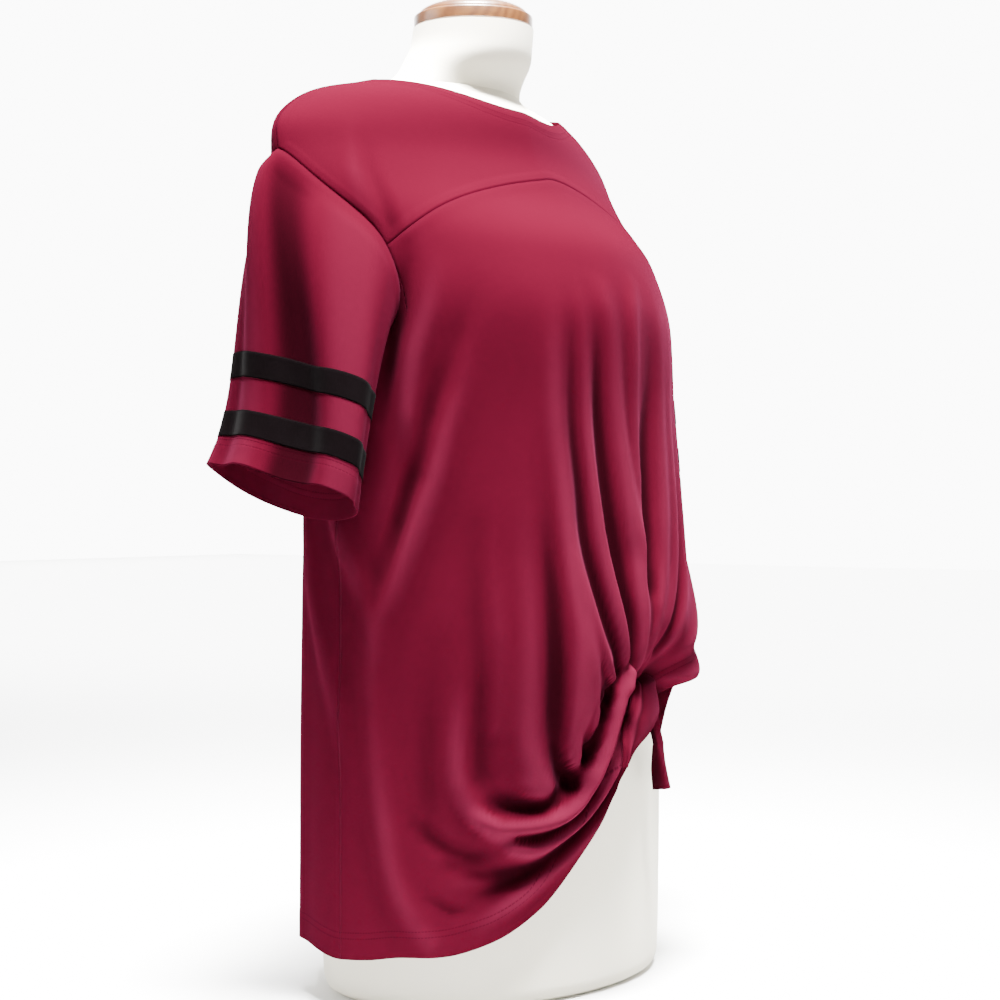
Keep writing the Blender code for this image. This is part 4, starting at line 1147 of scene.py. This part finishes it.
@dataclass
class BodyPanels:
    """The front body, the front yoke and the back, cut on the cloth's one surface."""

    cloth: ClothForm
    pattern: Pattern
    wardrobe: Wardrobe
    arm_columns: int = 36
    front_columns: int = 140
    back_columns: int = 96
    body_rows: int = 196
    yoke_rows: int = 70
    back_rows: tuple[int, int] = (150, 60)
    seam_points: int = 160
    shoulder_points: int = 40
    hem_corner: float = 22.0
    hem_fold: float = 0.0004
    hem_depth: float = 0.024
    rim_fold: float = 0.0003
    rim_depth: float = 0.012
    rim_to_hem: float = 0.0085
    calm: float = 0.7
    calm_turns: Pair = (4.0, 2.0)
    calm_below_arm: float = 0.01

    def across(self) -> Array:
        """How the columns of the front are spread, with more of them over the knot."""
        return shares(self.front_columns, (0.45, 0.16, 1.6), (0.0, 0.01, 1.5), (1.0, 0.01, 1.5))

    def arm_part(self, start: float, end: float) -> Array:
        """Places along the armhole from its start to where the edge across begins."""
        share = shares(self.arm_columns, (1.0, 0.03, 1.0))
        return self.pattern.armhole(start + (end - start) * share)

    @staticmethod
    def both_sides(arm: Array, across: Array) -> Array:
        """An edge across the body with the same armhole part at each end of it."""
        other = np.stack([180 - arm[::-1, 0], arm[::-1, 1]], axis=-1)
        return join_edges(arm, across, other)

    def yoke_edge(self, arm: Array) -> Array:
        """The yoke seam between its ends on the armholes, with an armhole part at each end."""
        first = arm[-1, 0]
        seam = self.pattern.yoke_seam(first + (180 - 2 * first) * self.across())
        return self.both_sides(arm, seam)

    def low_turns(self, across: Array) -> Array:
        """Turns along a hem, with the armholes' columns in its two corners."""
        corner = np.linspace(0, self.hem_corner, self.arm_columns + 1)
        middle = self.hem_corner + (180 - 2 * self.hem_corner) * across
        return join_edges(corner, middle, 180 - corner[::-1])

    def gap(self, line: Array, points: Array) -> Array:
        """Metres from each point to a line of places on the cloth."""
        return gap_to(self.cloth.place(line[:, 0], line[:, 1]), points)

    def panel(self, places: Array, seams: tuple[Array, ...], hem: Array | None,
              rim: Array | None) -> Patch:
        """Points of a patch with its seams sunk, its hem turned and its rim doubled.

        Args:
            places: turns and heights, rows first.
            seams: places along each seam that bounds the panel.
            hem: places along its hem, if it has one.
            rim: places along its neck edge, if it has one.

        Returns:
            The patch, with the numbers that the finish reads.
        """
        turn, height = places[..., 0], places[..., 1]
        points = self.cloth.place(turn, height)
        seam_gap = np.min([self.gap(line, points) for line in seams], axis=0)
        from_side = np.abs((turn + 90) % 180 - 90)
        reach, fade = self.calm_turns
        below_arm = height < self.pattern.underarm - self.calm_below_arm
        plain = 1 - self.calm * smooth_step((reach - from_side) / fade) * below_arm
        lift = seam_relief(seam_gap) * plain
        sewn = np.exp(-((seam_gap / SEAM_HALF) ** 2)) * plain
        hem_gap = np.full(turn.shape, FAR_FROM_HEM)
        if hem is not None:
            hem_gap = self.gap(hem, points)
            lift = lift + self.hem_fold * smooth_step((self.hem_depth - hem_gap) / TURNED_FADE)
        if rim is not None:
            rim_gap = self.gap(rim, points)
            lift = lift + self.rim_fold * smooth_step((self.rim_depth - rim_gap) / TURNED_FADE)
            hem_gap = np.minimum(hem_gap, rim_gap + self.rim_to_hem)
        points = points + self.cloth.body.outward(turn, height) * lift[..., None]
        weave = np.stack([np.radians(turn) * UNROLL, height], axis=-1)
        # The 'fold' number, which the finish turns into painted shade and painted highlight.
        fold = self.cloth.sides_of_folds(turn, height)
        return Patch(points, {"sewn": sewn, "hem_gap": hem_gap, "fold": fold}, weave)

    def side_seams(self) -> tuple[Array, ...]:
        """Places up the right and the left side seam."""
        low = self.pattern.hem_height - self.pattern.hem_dip
        height = np.linspace(low, self.pattern.underarm, self.seam_points)
        return tuple(np.stack([np.full(self.seam_points, turn), height], axis=-1)
                     for turn in (0.0, 180.0))

    def shoulder_seams(self, top: Array) -> tuple[Array, ...]:
        """Places up both shoulder seams, to the ends of a neck edge."""
        seams = []
        for turn, high in (top[0], top[-1]):
            height = np.linspace(self.pattern.shoulder_point, high, self.shoulder_points)
            seams.append(np.stack([np.full(self.shoulder_points, turn), height], axis=-1))
        return tuple(seams)

    def front_body(self) -> ClothPiece:
        """The lower front, from its knotted hem to the yoke seam."""
        top = self.yoke_edge(self.arm_part(0, self.pattern.yoke_end_psi))
        hem = self.pattern.hem(self.low_turns(self.across()))
        rows = shares(self.body_rows, (0.0, 0.008, 2.0), (0.12, 0.16, 1.3), (1.0, 0.008, 3.0))
        patch = self.panel(ruled(hem, top, rows), (top, *self.side_seams()), hem, None)
        return ClothPiece("jersey_front_body", "front_body", (patch,), self.wardrobe.jersey,
                          (0.66, 0.68), 0.30, Held.GATHERED, ("form_torso",))

    def front_yoke(self) -> ClothPiece:
        """The upper front, from the yoke seam to the neckline."""
        bottom = self.yoke_edge(self.arm_part(180, self.pattern.yoke_end_psi))
        top = self.pattern.neckline(0, 180, shares(len(bottom) - 1))
        top[0, 0], top[-1, 0] = 0, 180
        rows = shares(self.yoke_rows, (0.0, 0.02, 2.5), (1.0, 0.05, 1.5))
        seams = (bottom, *self.shoulder_seams(top))
        patch = self.panel(ruled(bottom, top, rows), seams, None, top)
        return ClothPiece("jersey_front_yoke", "front_yoke", (patch,), self.wardrobe.jersey,
                          (0.50, 0.20), 0.06, Held.DRAPED, ("form_torso",))

    def back(self) -> ClothPiece:
        """The back, from its level hem to the back neckline."""
        first = self.pattern.armhole_half_turn
        share = shares(self.back_columns, (0.0, 0.01, 1.5), (1.0, 0.01, 1.5))
        level = np.full(share.shape, self.pattern.armhole(90)[1])
        blades = np.stack([first + (180 - 2 * first) * share, level], axis=-1)
        low_arm, high_arm = self.arm_part(0, 90), self.arm_part(180, 90)
        waist = self.both_sides(low_arm, blades)
        yoke = self.both_sides(high_arm, blades)
        hem = self.pattern.back_hem(self.low_turns(share))
        top = self.pattern.neckline(360, 180, shares(len(yoke) - 1))
        top[:, 0] = np.where(top[:, 0] > 0, 360 - top[:, 0], -top[:, 0])
        top[0, 0], top[-1, 0] = 0, 180
        arms = [np.stack([side + sign * arm[:, 0], arm[:, 1]], axis=-1)
                for arm in (low_arm, high_arm) for side, sign in ((0, 1), (180, -1))]
        behind = np.array([-1.0, 1.0])
        seams = tuple(line * behind
                      for line in (*arms, *self.side_seams(), *self.shoulder_seams(top)))
        low_rows = shares(self.back_rows[0], (0.0, 0.01, 2.0), (1.0, 0.01, 1.0))
        high_rows = shares(self.back_rows[1], (0.0, 0.02, 2.0), (1.0, 0.05, 1.5))
        patches = tuple(self.panel(ruled(bottom, edge, rows) * behind, seams, hem * behind,
                                   top * behind)
                        for bottom, edge, rows in ((hem, waist, low_rows), (yoke, top, high_rows)))
        return ClothPiece("jersey_back", "back_panel", patches, self.wardrobe.jersey,
                          (0.62, 0.80), 0.36, Held.DRAPED, ("form_torso",))

    def build(self) -> None:
        """Make the three panels."""
        for piece in (self.front_body(), self.front_yoke(), self.back()):
            piece.build(self.wardrobe)


@dataclass(frozen=True)
class Lead:
    """How the sleeve's cloth leaves an edge on one side: outwards, forwards and down."""

    out: float
    fore: float
    down: float


@dataclass(frozen=True)
class SleeveFold:
    """A fold down the sleeve, from its armhole end to its hem."""

    name: str
    psi: Pair
    lifts: tuple[float, float, float]
    width: Pair
    crest: Crest = Crest.ROUND

    def lift(self, psi: Array, upper: Array) -> Array:
        """How far the fold lifts the cloth.

        Args:
            psi: degrees round the sleeve.
            upper: how far up the sleeve, 0 at the hem.

        Returns:
            The lift in metres.
        """
        centre = self.psi[0] * upper + self.psi[1] * (1 - upper)
        width = self.width[0] * upper + self.width[1] * (1 - upper)
        aside = ((psi - centre + 180) % 360 - 180) / width
        return np.interp(1 - upper, (0, 0.5, 1), self.lifts) * self.crest.profile(aside)


def redraw(at: Array, run: Array, points: Array) -> Array:
    """Read a grid of points again, column by column.

    Args:
        at: metres along each column where points are wanted, rows first.
        run: metres along each column of the grid's own points.
        points: the grid.

    Returns:
        The new grid.
    """
    columns = [np.stack([np.interp(at[:, k], run[:, k], points[:, k, axis])
                         for axis in range(3)], axis=-1) for k in range(points.shape[1])]
    return np.stack(columns, axis=1)


@dataclass
class Sleeve:
    """One short sleeve with its two satin bands."""

    side: Side
    cloth: ClothForm
    pattern: Pattern
    wardrobe: Wardrobe
    hem_half_out: float = 0.0325
    hem_half_y: float = 0.075
    hem_height: float = 0.4373
    hem_front_drop: float = 0.0115
    hem_inner_drop: float = 0.0200
    hem_side_drop: float = 0.0023
    hem_depth: float = 0.020
    hem_fold: float = 0.0004
    seam_half: float = 0.0012
    seam_welt: float = 0.0003
    fold_fade: float = 0.09
    # Lift at which a sleeve fold gets full painted shade or full painted highlight.
    lift_for_full_light_and_shade: float = 0.010
    band_gap: float = 0.00030
    band_thickness: float = 0.0004
    band_rows: int = 15
    columns: int = 220
    rows: int = 120
    reach: tuple[Lead, ...] = (Lead(0.020, 0.000, 0.010), Lead(0.035, 0.012, 0.030),
                               Lead(0.053, 0.000, 0.040), Lead(0.049, -0.021, 0.030))
    rise: tuple[Lead, ...] = (Lead(-0.001, 0.000, -0.035), Lead(-0.012, 0.004, -0.070),
                              Lead(-0.040, 0.000, -0.078), Lead(-0.030, 0.022, -0.068))
    bands: tuple[tuple[str, float, float], ...] = (("lower", 0.026, 0.048),
                                                   ("upper", 0.076, 0.098))
    folds: tuple[SleeveFold, ...] = (
        SleeveFold("front hollow", (78, 84), (-0.001, -0.002, -0.002), (12, 12)),
        SleeveFold("proud front panel", (108, 110), (0.003, 0.005, 0.006), (22, 22), Crest.ROLL),
        SleeveFold("valley beside the panel", (152, 157), (-0.006, -0.010, -0.012), (19, 21),
                   Crest.ROLL),
        SleeveFold("outer ridge", (194, 194), (0.004, 0.005, 0.005), (13, 13)),
        SleeveFold("outer hollow", (222, 222), (-0.002, -0.003, -0.003), (12, 12)),
        SleeveFold("back ridge", (244, 244), (0.003, 0.005, 0.006), (15, 15), Crest.KEEN),
        SleeveFold("back hollow", (276, 284), (-0.001, -0.003, -0.003), (15, 16)),
        SleeveFold("inner ridge", (322, 330), (0.001, 0.002, 0.003), (15, 15)),
        SleeveFold("inner hollow", (20, 30), (0.0, -0.001, -0.002), (16, 16)),
    )

    @staticmethod
    def four_sides(leads: tuple[Lead, ...], psi: Array) -> Array:
        """Blend the leads of the underarm, front, outside and back round the sleeve."""
        inner, fore = np.cos(np.radians(psi)), np.sin(np.radians(psi))
        weights = (np.maximum(part, 0) ** 2 for part in (inner, fore, -inner, -fore))
        return sum(weight[:, None] * np.array([-lead.out, -lead.fore, -lead.down])
                   for weight, lead in zip(weights, leads))

    @staticmethod
    def tube_normals(points: Array) -> Array:
        """Outward normals of a closed tube of points, rows up and columns round it."""
        ring = points[:, :-1]
        around = np.roll(ring, -1, axis=1) - np.roll(ring, 1, axis=1)
        normal = np.cross(around, np.gradient(ring, axis=0))
        normal /= np.linalg.norm(normal, axis=-1, keepdims=True)
        facing = np.sum(normal * (ring - ring.mean(axis=1, keepdims=True)), axis=-1)
        normal *= np.sign(np.median(facing))
        return np.concatenate([normal, normal[:, :1]], axis=1)

    def psi(self) -> Array:
        """Columns round the sleeve, which meet the panels' rows at the yoke seam and top."""
        share = np.array([0, self.pattern.yoke_end_psi, 180, 360])
        counts = (self.columns * np.diff(share) / 360).astype(int)
        parts = [np.linspace(a, b, n + 1)[:-1] for a, b, n in zip(share, share[1:], counts)]
        return np.concatenate(parts + [[360.0]])

    def hem(self, psi: Array) -> Array:
        """Points round the hem, on the wearer's right."""
        out, y = HEM_MIDDLES[self.side]
        around = np.radians(psi)
        return np.stack([
            -out + self.hem_half_out * np.cos(around),
            y - self.hem_half_y * np.sin(around),
            self.hem_height - self.hem_front_drop * np.sin(around)
            - self.hem_inner_drop * np.cos(around) - self.hem_side_drop * np.cos(2 * around),
        ], axis=-1)

    def surface(self) -> tuple[Array, Array, Array, Array]:
        """The sleeve's middle surface.

        Returns:
            Points with the hem first, their normals, metres up from the hem, and how far
            each lies down a valley (-1) or up a ridge (1), which the finish paints as shade and
            highlight.
        """
        psi = self.psi()
        turn, height = self.pattern.armhole(psi).T
        turn = 180 - turn if self.side is Side.LEFT else turn
        start = self.cloth.place(turn, height) * self.side.flip
        hem = self.hem(psi)
        first = start + self.four_sides(self.reach, psi)
        second = hem + self.four_sides(self.rise, psi)
        t = np.linspace(0, 1, CURVE_STEPS)[:, None, None]
        run = ((1 - t) ** 3 * hem + 3 * t * (1 - t) ** 2 * second
               + 3 * t * t * (1 - t) * first + t**3 * start)
        travelled = run_along(run, 0)
        length = travelled[-1]
        up = shares(self.rows, (0.0, 0.02, 1.0), (1.0, 0.02, 2.5))[:, None] * length
        points = redraw(up, travelled, run)
        upper = up / length
        lift = sum(fold.lift(psi[None], upper) for fold in self.folds)
        lift = lift * smooth_step((1 - upper) / self.fold_fade)
        # Painted shade in the sleeve's valleys and painted highlight on its ridges, by their lift.
        fold = np.sign(lift) * smooth_step(np.abs(lift) / self.lift_for_full_light_and_shade)
        lift += seam_relief(length - up, 0.0, self.seam_welt)
        lift += self.hem_fold * smooth_step((self.hem_depth - up) / TURNED_FADE)
        points = points + self.tube_normals(points) * lift[..., None]
        return points * self.side.flip, self.tube_normals(points) * self.side.flip, up, fold

    def build(self) -> None:
        """Make the sleeve and its bands."""
        points, normals, up, fold = self.surface()
        sewn = np.exp(-(((up[-1:] - up) / self.seam_half) ** 2))
        patch = Patch(points, {"sewn": sewn, "hem_gap": up, "fold": fold})
        name = self.side.value
        ClothPiece(f"jersey_sleeve_{name}", f"sleeve_{name}", (patch,), self.wardrobe.jersey,
                   (0.40, 0.26), 0.07, Held.DRAPED,
                   ("jersey_front_body", "jersey_back")).build(self.wardrobe)
        raised = points + normals * (CLOTH_THICKNESS / 2 + self.band_gap)
        for level, low, high in self.bands:
            self.band(level, low, high, raised, up)

    def band(self, level: str, low: float, high: float, raised: Array, up: Array) -> None:
        """Lay one satin band on the sleeve.

        Args:
            level: lower or upper.
            low: metres from the hem to its lower edge.
            high: metres from the hem to its upper edge.
            raised: the sleeve's points, moved out to where a band lies.
            up: metres from the hem of each.
        """
        steps = np.linspace(low, high, self.band_rows)
        at = np.repeat(steps[:, None], up.shape[1], axis=1)
        patch = Patch(redraw(at, up, raised), {"edge_gap": np.minimum(at - low, high - at)})
        name = self.side.value
        ClothPiece(f"satin_band_{name}_{level}", f"band_{name}_{level}", (patch,),
                   self.wardrobe.satin, (0.36, high - low), 0.36 * (high - low),
                   Held.STRETCHED, (f"jersey_sleeve_{name}",),
                   thickness=self.band_thickness).build(self.wardrobe)


@dataclass
class KnotPieces:
    """The leaf of cloth across the knot, and the end that hangs from under it.

    A row of the wrap is the X and height of its middle, its half width and how far it is
    bowed out. A row of the tie end is the X and height of its middle and its half width.
    A crease of the wrap is its place across, its half width and its lift. The tie end
    comes free of the cloth below the first height of its pair, over the second.
    """

    cloth: ClothForm
    wardrobe: Wardrobe
    wrap_rows: tuple[tuple[float, ...], ...] = (
        (0.0195, 0.2743, 0.0166, 0.001), (0.0170, 0.2617, 0.0270, 0.004),
        (0.0150, 0.2483, 0.0365, 0.006), (0.0065, 0.2383, 0.0415, 0.007),
        (-0.0095, 0.2272, 0.0315, 0.006), (-0.0290, 0.2176, 0.0135, 0.004),
        (-0.0410, 0.2045, 0.0020, 0.001))
    wrap_lines: int = 90
    wrap_columns: int = 75
    wrap_lift: float = 0.0060
    wrap_edges: tuple[int, int] = (8, -9)
    turned_share: float = 0.22
    edge_radius: float = 0.0022
    bow_power: float = 2.2
    creases: tuple[tuple[float, float, float], ...] = ((-0.86, 0.07, 0.0012),
                                                       (-0.68, 0.08, -0.0008))
    crease_slant: float = 0.06
    # How strongly creases are painted with highlight and shade, and how much painted shade covers
    # the leaf.
    crease_light_and_shade: float = 0.6
    leaf_shade: float = -0.30
    tuck: float = 0.007
    tuck_share: float = 0.10
    tie_rows: tuple[tuple[float, ...], ...] = (
        (0.0469, 0.2511, 0.0050), (0.0455, 0.2373, 0.0065), (0.0400, 0.2252, 0.0080),
        (0.0370, 0.2132, 0.0080), (0.0400, 0.1999, 0.0070), (0.0440, 0.1859, 0.0075),
        (0.0480, 0.1721, 0.0090))
    tie_lines: int = 60
    tie_columns: int = 33
    tie_lift: float = 0.0030
    tie_hangs_below: float = 0.214
    tie_free: Pair = (0.225, 0.040)
    tie_bow: float = 0.002
    tie_curl: float = 0.007
    curl_from: float = -0.05
    curl_power: float = 1.2

    @staticmethod
    def spread(rows: tuple[tuple[float, ...], ...], lines: int) -> list[Array]:
        """Draw a short table of rows out to many, along a smooth curve, column by column."""
        fine = smooth_line(np.array(rows, float), 24)
        run = run_along(fine[:, None, :2], 0)[:, 0]
        at = np.linspace(0, run[-1], lines)
        return [np.interp(at, run, column)[:, None] for column in fine.T]

    def wrap(self) -> ClothPiece:
        """The wrap, bowed over the gathers, with its long edges turned behind it. Painted shade
        covers the leaf except near one long edge; raised creases get painted highlight and sunk
        ones painted shade.
        """
        middle, level, half, bow = self.spread(self.wrap_rows, self.wrap_lines)
        edge = 1 + self.turned_share
        column = np.linspace(-edge, edge, self.wrap_columns)
        across = np.clip(column, -1, 1)
        over = np.clip(np.abs(column) - 1, 0, None) / self.turned_share * math.pi
        x = middle + half * across + np.sign(column) * self.edge_radius * np.sin(over)
        height = level + 0 * x
        turn = CLOTH_BODY.turn_at(x, height)
        down = np.linspace(0, 1, self.wrap_lines)[:, None]
        left, right = (np.polyval(np.polyfit(
            down[:, 0], self.cloth.relief(turn[:, k], height[:, k]), 2), down)
            for k in self.wrap_edges)
        share = (across + 1) / 2
        sunk = self.edge_radius * (1 - np.cos(over))
        lift = left * (1 - share) + right * share + self.wrap_lift - sunk
        lift = lift + bow * (1 - np.abs(across) ** self.bow_power)
        # Painted shade over the leaf, except near one long edge.
        fold = self.leaf_shade * smooth_step((across + 0.7) / 0.2)
        # A crease that lifts gets painted highlight and one that sinks gets painted shade.
        for place, width, rise in self.creases:
            line = Crest.ROUND.profile((across - place - self.crease_slant * down) / width)
            lift = lift + rise * line
            fold = fold + math.copysign(self.crease_light_and_shade, rise) * line
        lift = lift - self.tuck * (1 - smooth_step(down / self.tuck_share)) ** 2
        points = CLOTH_BODY.place(turn, height) + CLOTH_BODY.outward(turn, height) * lift[..., None]
        return self.piece("jersey_knot_wrap", "knot_wrap", points, np.clip(fold, -1, 1),
                          (0.070, 0.110), 0.006, "jersey_front_body")

    def tie(self) -> ClothPiece:
        """The free end, with its inner edge turned back and painted shade on its inner half."""
        middle, level, half = self.spread(self.tie_rows, self.tie_lines)
        across = np.linspace(-1, 1, self.tie_columns)[None]
        x = middle + half * across
        height = level + 0 * across
        held = np.maximum(height, self.tie_hangs_below)
        points = self.cloth.place(CLOTH_BODY.turn_at(x, held), held)
        inner = smooth_step((self.curl_from - across) / (1 + self.curl_from))
        curl = self.tie_bow * (1 - across**2) - self.tie_curl * inner**self.curl_power
        free = smooth_step((self.tie_free[0] - height) / self.tie_free[1])
        normal = CLOTH_BODY.outward(CLOTH_BODY.turn_at(x, height), height)
        points = points + normal * (self.tie_lift + curl * free)[..., None]
        points[..., 2] = height
        # Painted shade over the inner half of the tie end, where it turns back.
        fold = -smooth_step((-0.1 - across) / 0.5) + 0 * height
        return self.piece("jersey_tie_end", "tie_end", points, fold, (0.020, 0.095), 0.0011,
                          "jersey_knot_wrap")

    def piece(self, name: str, node: str, points: Array, fold: Array, flat: Pair, area: float,
              rests_on: str) -> ClothPiece:
        """A gathered piece of jersey with no seam or hem of its own.

        Args:
            name: the piece's name.
            node: the solid that it stands for.
            points: its grid of points.
            fold: painted shade (-1) to painted highlight (1) at each point.
            flat: its size when laid flat.
            area: its area when laid flat.
            rests_on: the piece under it.

        Returns:
            The piece, not yet made.
        """
        numbers = {"sewn": np.zeros(fold.shape), "hem_gap": np.full(fold.shape, FAR_FROM_HEM),
                   "fold": fold}
        return ClothPiece(name, node, (Patch(points, numbers),), self.wardrobe.jersey, flat, area,
                          Held.GATHERED, (rests_on,))

    def build(self) -> None:
        """Make both pieces."""
        self.wrap().build(self.wardrobe)
        self.tie().build(self.wardrobe)


@dataclass
class DressForm:
    """The limbless form: its covered torso and the wooden cap on its neck."""

    wardrobe: Wardrobe
    columns: int = 120
    rows: int = 150
    cap_radius: float = 0.055
    cap_height: float = 0.026
    cap_rim: float = 0.012
    cap_corner: float = 0.0022
    cap_crown: float = 0.93
    cap_gap: float = 0.0003
    cap_y: float = 0.016
    cap_steps: int = 96
    dome_points: int = 20
    corner_points: int = 6
    sharp_angle: float = 40.0

    def torso(self) -> None:
        """Make the closed torso, flat underneath."""
        heights = [ring.height for ring in FORM_BODY.rings]
        at = np.union1d(np.linspace(heights[0], heights[-1], self.rows), heights[:3])
        turn, height = np.meshgrid(np.linspace(0, 360, self.columns + 1), at)
        mesh = bmesh.new()
        lay_grid(mesh, FORM_BODY.place(turn, height))
        bmesh.ops.remove_doubles(mesh, verts=mesh.verts, dist=SAME_POINT)
        rims = [edge for edge in mesh.edges if edge.is_boundary]
        bmesh.ops.holes_fill(mesh, edges=rims, sides=0)
        self.finish("form_cover_torso", mesh, "form_torso", self.wardrobe.cover)

    def cap_profile(self) -> list[Pair]:
        """Radius and height down the cap's side, from the middle of its dome to its foot."""
        low = FORM_BODY.rings[-1].height + self.cap_gap
        rim = low + self.cap_rim
        crown = self.cap_radius * self.cap_crown
        dome = self.cap_height - self.cap_rim
        round_dome = np.linspace(0, math.pi / 2, self.dome_points)
        corner = [(self.cap_corner * (1 - math.sin(a)), self.cap_corner * (1 - math.cos(a)))
                  for a in np.linspace(0, math.pi / 2, self.corner_points)]
        return [*((crown * math.sin(a), rim + dome * math.cos(a)) for a in round_dome),
                *((self.cap_radius - inward, rim - down) for inward, down in corner),
                *((self.cap_radius - inward, low + up) for up, inward in corner),
                (0.0, low)]

    def cap(self) -> None:
        """Make the domed cap, turned round the neck."""
        mesh = bmesh.new()
        verts = [mesh.verts.new((radius, 0.0, height)) for radius, height in self.cap_profile()]
        edges = [mesh.edges.new(pair) for pair in zip(verts, verts[1:])]
        bmesh.ops.spin(mesh, geom=verts + edges, axis=(0, 0, 1), cent=(0, 0, 0),
                       angle=2 * math.pi, steps=self.cap_steps, use_merge=True)
        bmesh.ops.remove_doubles(mesh, verts=mesh.verts, dist=SAME_POLE)
        bmesh.ops.translate(mesh, verts=mesh.verts, vec=(0.0, self.cap_y, 0.0))
        self.finish("wooden_neck_cap", mesh, "form_neck_cap", self.wardrobe.wood)

    def finish(self, name: str, mesh: BMesh, node: str, finish: Finish) -> None:
        """Turn a closed bmesh into a piece that stands for its node.

        Args:
            name: the piece's name.
            mesh: its bmesh.
            node: the solid that it stands for.
            finish: its finish.
        """
        bmesh.ops.recalc_face_normals(mesh, faces=mesh.faces)
        piece = new_piece(name, mesh, self.wardrobe.material(finish))
        piece.data.set_sharp_from_angle(angle=math.radians(self.sharp_angle))
        stand_for(piece, node)

    def build(self) -> None:
        """Make the torso and the cap."""
        self.torso()
        self.cap()


@dataclass(frozen=True)
class SoftLight:
    """A soft square light. Its places are towards the camera, to its right, and up."""

    name: str
    place: tuple[float, float, float]
    aim: tuple[float, float, float]
    size: float
    power: float
    spread: float = 180.0


@dataclass
class Studio:
    """Floor, daylight surround, soft lights and the camera."""

    wardrobe: Wardrobe
    azimuth: float = -53.0
    distance: float = 1.924
    aside: float = 0.012
    height: float = 0.430
    focal_pixels: float = 2086.0
    photo_pixels: float = 1000.0
    sensor: float = 36.0
    surround: float = 0.45
    backdrop: float = 11.0
    backdrop_angles: Pair = (48.0, 20.0)
    floor_half: float = 10.5
    floor_drop: float = 0.0005
    soft_lights: tuple[SoftLight, ...] = (
        SoftLight("key", (0.6, 0.1, 2.8), (0.0, 0.0, 0.6), 0.9, 235.0, 60.0),
        SoftLight("front", (2.4, 0.6, 1.3), (0.0, 0.0, 0.45), 1.6, 2.5),
        SoftLight("left", (0.1, -2.2, 1.2), (0.0, 0.0, 0.4), 1.2, 30.0),
        SoftLight("floor wash", (-8.5, 0.0, 4.0), (-8.501, 0.0, 0.0), 12.0, 4300.0, 60.0),
    )

    def directions(self) -> tuple[Vector, Vector]:
        """The way back to the camera and the way to its right."""
        turn = math.radians(self.azimuth)
        back = Vector((math.sin(turn), -math.cos(turn), 0.0))
        return back, Vector((math.cos(turn), math.sin(turn), 0.0))

    def spot(self, back: float, right: float, height: float) -> Vector:
        """A place by its distance towards the camera, to its right, and its height."""
        to_camera, to_right = self.directions()
        spot = to_camera * back + to_right * right
        return Vector((spot.x, spot.y, height))

    @staticmethod
    def hang(name: str, data: bpy.types.ID, place: Vector, facing: Vector) -> bpy.types.Object:
        """Put a camera or a light at a place, facing one way.

        Args:
            name: its name.
            data: the camera or the light.
            place: where it hangs.
            facing: the way it looks.

        Returns:
            The new object, linked to the scene.
        """
        thing = bpy.data.objects.new(name, data)
        thing.location = place
        thing.rotation_mode = "QUATERNION"
        thing.rotation_quaternion = facing.to_track_quat("-Z", "Y")
        bpy.context.scene.collection.objects.link(thing)
        return thing

    def camera(self) -> None:
        """Put the camera where the photograph was taken."""
        data = bpy.data.cameras.new("photo_camera")
        data.sensor_width = self.sensor
        data.lens = self.focal_pixels / self.photo_pixels * self.sensor
        place = self.spot(self.distance, self.aside, self.height)
        camera = self.hang("photo_camera", data, place, -self.directions()[0])
        bpy.context.scene.camera = camera

    def lights(self) -> None:
        """Hang the soft lights."""
        for light in self.soft_lights:
            data = bpy.data.lights.new(light.name, "AREA")
            data.shape = "SQUARE"
            data.size = light.size
            data.energy = light.power
            data.spread = math.radians(light.spread)
            place = self.spot(*light.place)
            self.hang(light.name, data, place, self.spot(*light.aim) - place)

    def daylight(self) -> None:
        """Surround the scene with dim white, bright behind the object."""
        world = bpy.data.worlds.new("white_surround")
        world.use_nodes = True
        nodes, links = world.node_tree.nodes, world.node_tree.links
        facing = nodes.new("ShaderNodeVectorMath")
        facing.operation = "DOT_PRODUCT"
        facing.inputs[1].default_value = -self.directions()[0]
        links.new(nodes.new("ShaderNodeTexCoord").outputs["Generated"], facing.inputs[0])
        spread = nodes.new("ShaderNodeMapRange")
        spread.interpolation_type = "SMOOTHSTEP"
        outer, inner = (math.cos(math.radians(angle)) for angle in self.backdrop_angles)
        for key, value in (("From Min", outer), ("From Max", inner), ("To Min", self.surround),
                           ("To Max", self.backdrop)):
            spread.inputs[key].default_value = value
        links.new(facing.outputs["Value"], spread.inputs["Value"])
        links.new(spread.outputs[0], nodes["Background"].inputs["Strength"])
        nodes["Background"].inputs["Color"].default_value = (1.0, 1.0, 1.0, 1.0)
        bpy.context.scene.world = world

    def floor(self) -> None:
        """Lay the pale floor just under the form."""
        mesh = bmesh.new()
        bmesh.ops.create_grid(mesh, x_segments=1, y_segments=1, size=self.floor_half)
        bmesh.ops.translate(mesh, verts=mesh.verts, vec=(0.0, 0.0, -self.floor_drop))
        piece = new_piece("pale_floor", mesh, self.wardrobe.material(self.wardrobe.floor))

    def build(self) -> None:
        """Set the studio up."""
        self.camera()
        self.lights()
        self.daylight()
        self.floor()


def main() -> None:
    """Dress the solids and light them."""
    logging.basicConfig(level=logging.INFO, format="%(name)s: %(message)s")
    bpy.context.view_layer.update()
    wardrobe = Wardrobe()
    cloth = ClothForm()
    pattern = Pattern()
    DressForm(wardrobe).build()
    BodyPanels(cloth, pattern, wardrobe).build()
    for side in Side:
        Sleeve(side, cloth, pattern, wardrobe).build()
    KnotPieces(cloth, wardrobe).build()
    Studio(wardrobe).build()


if __name__ == "__main__":
    main()
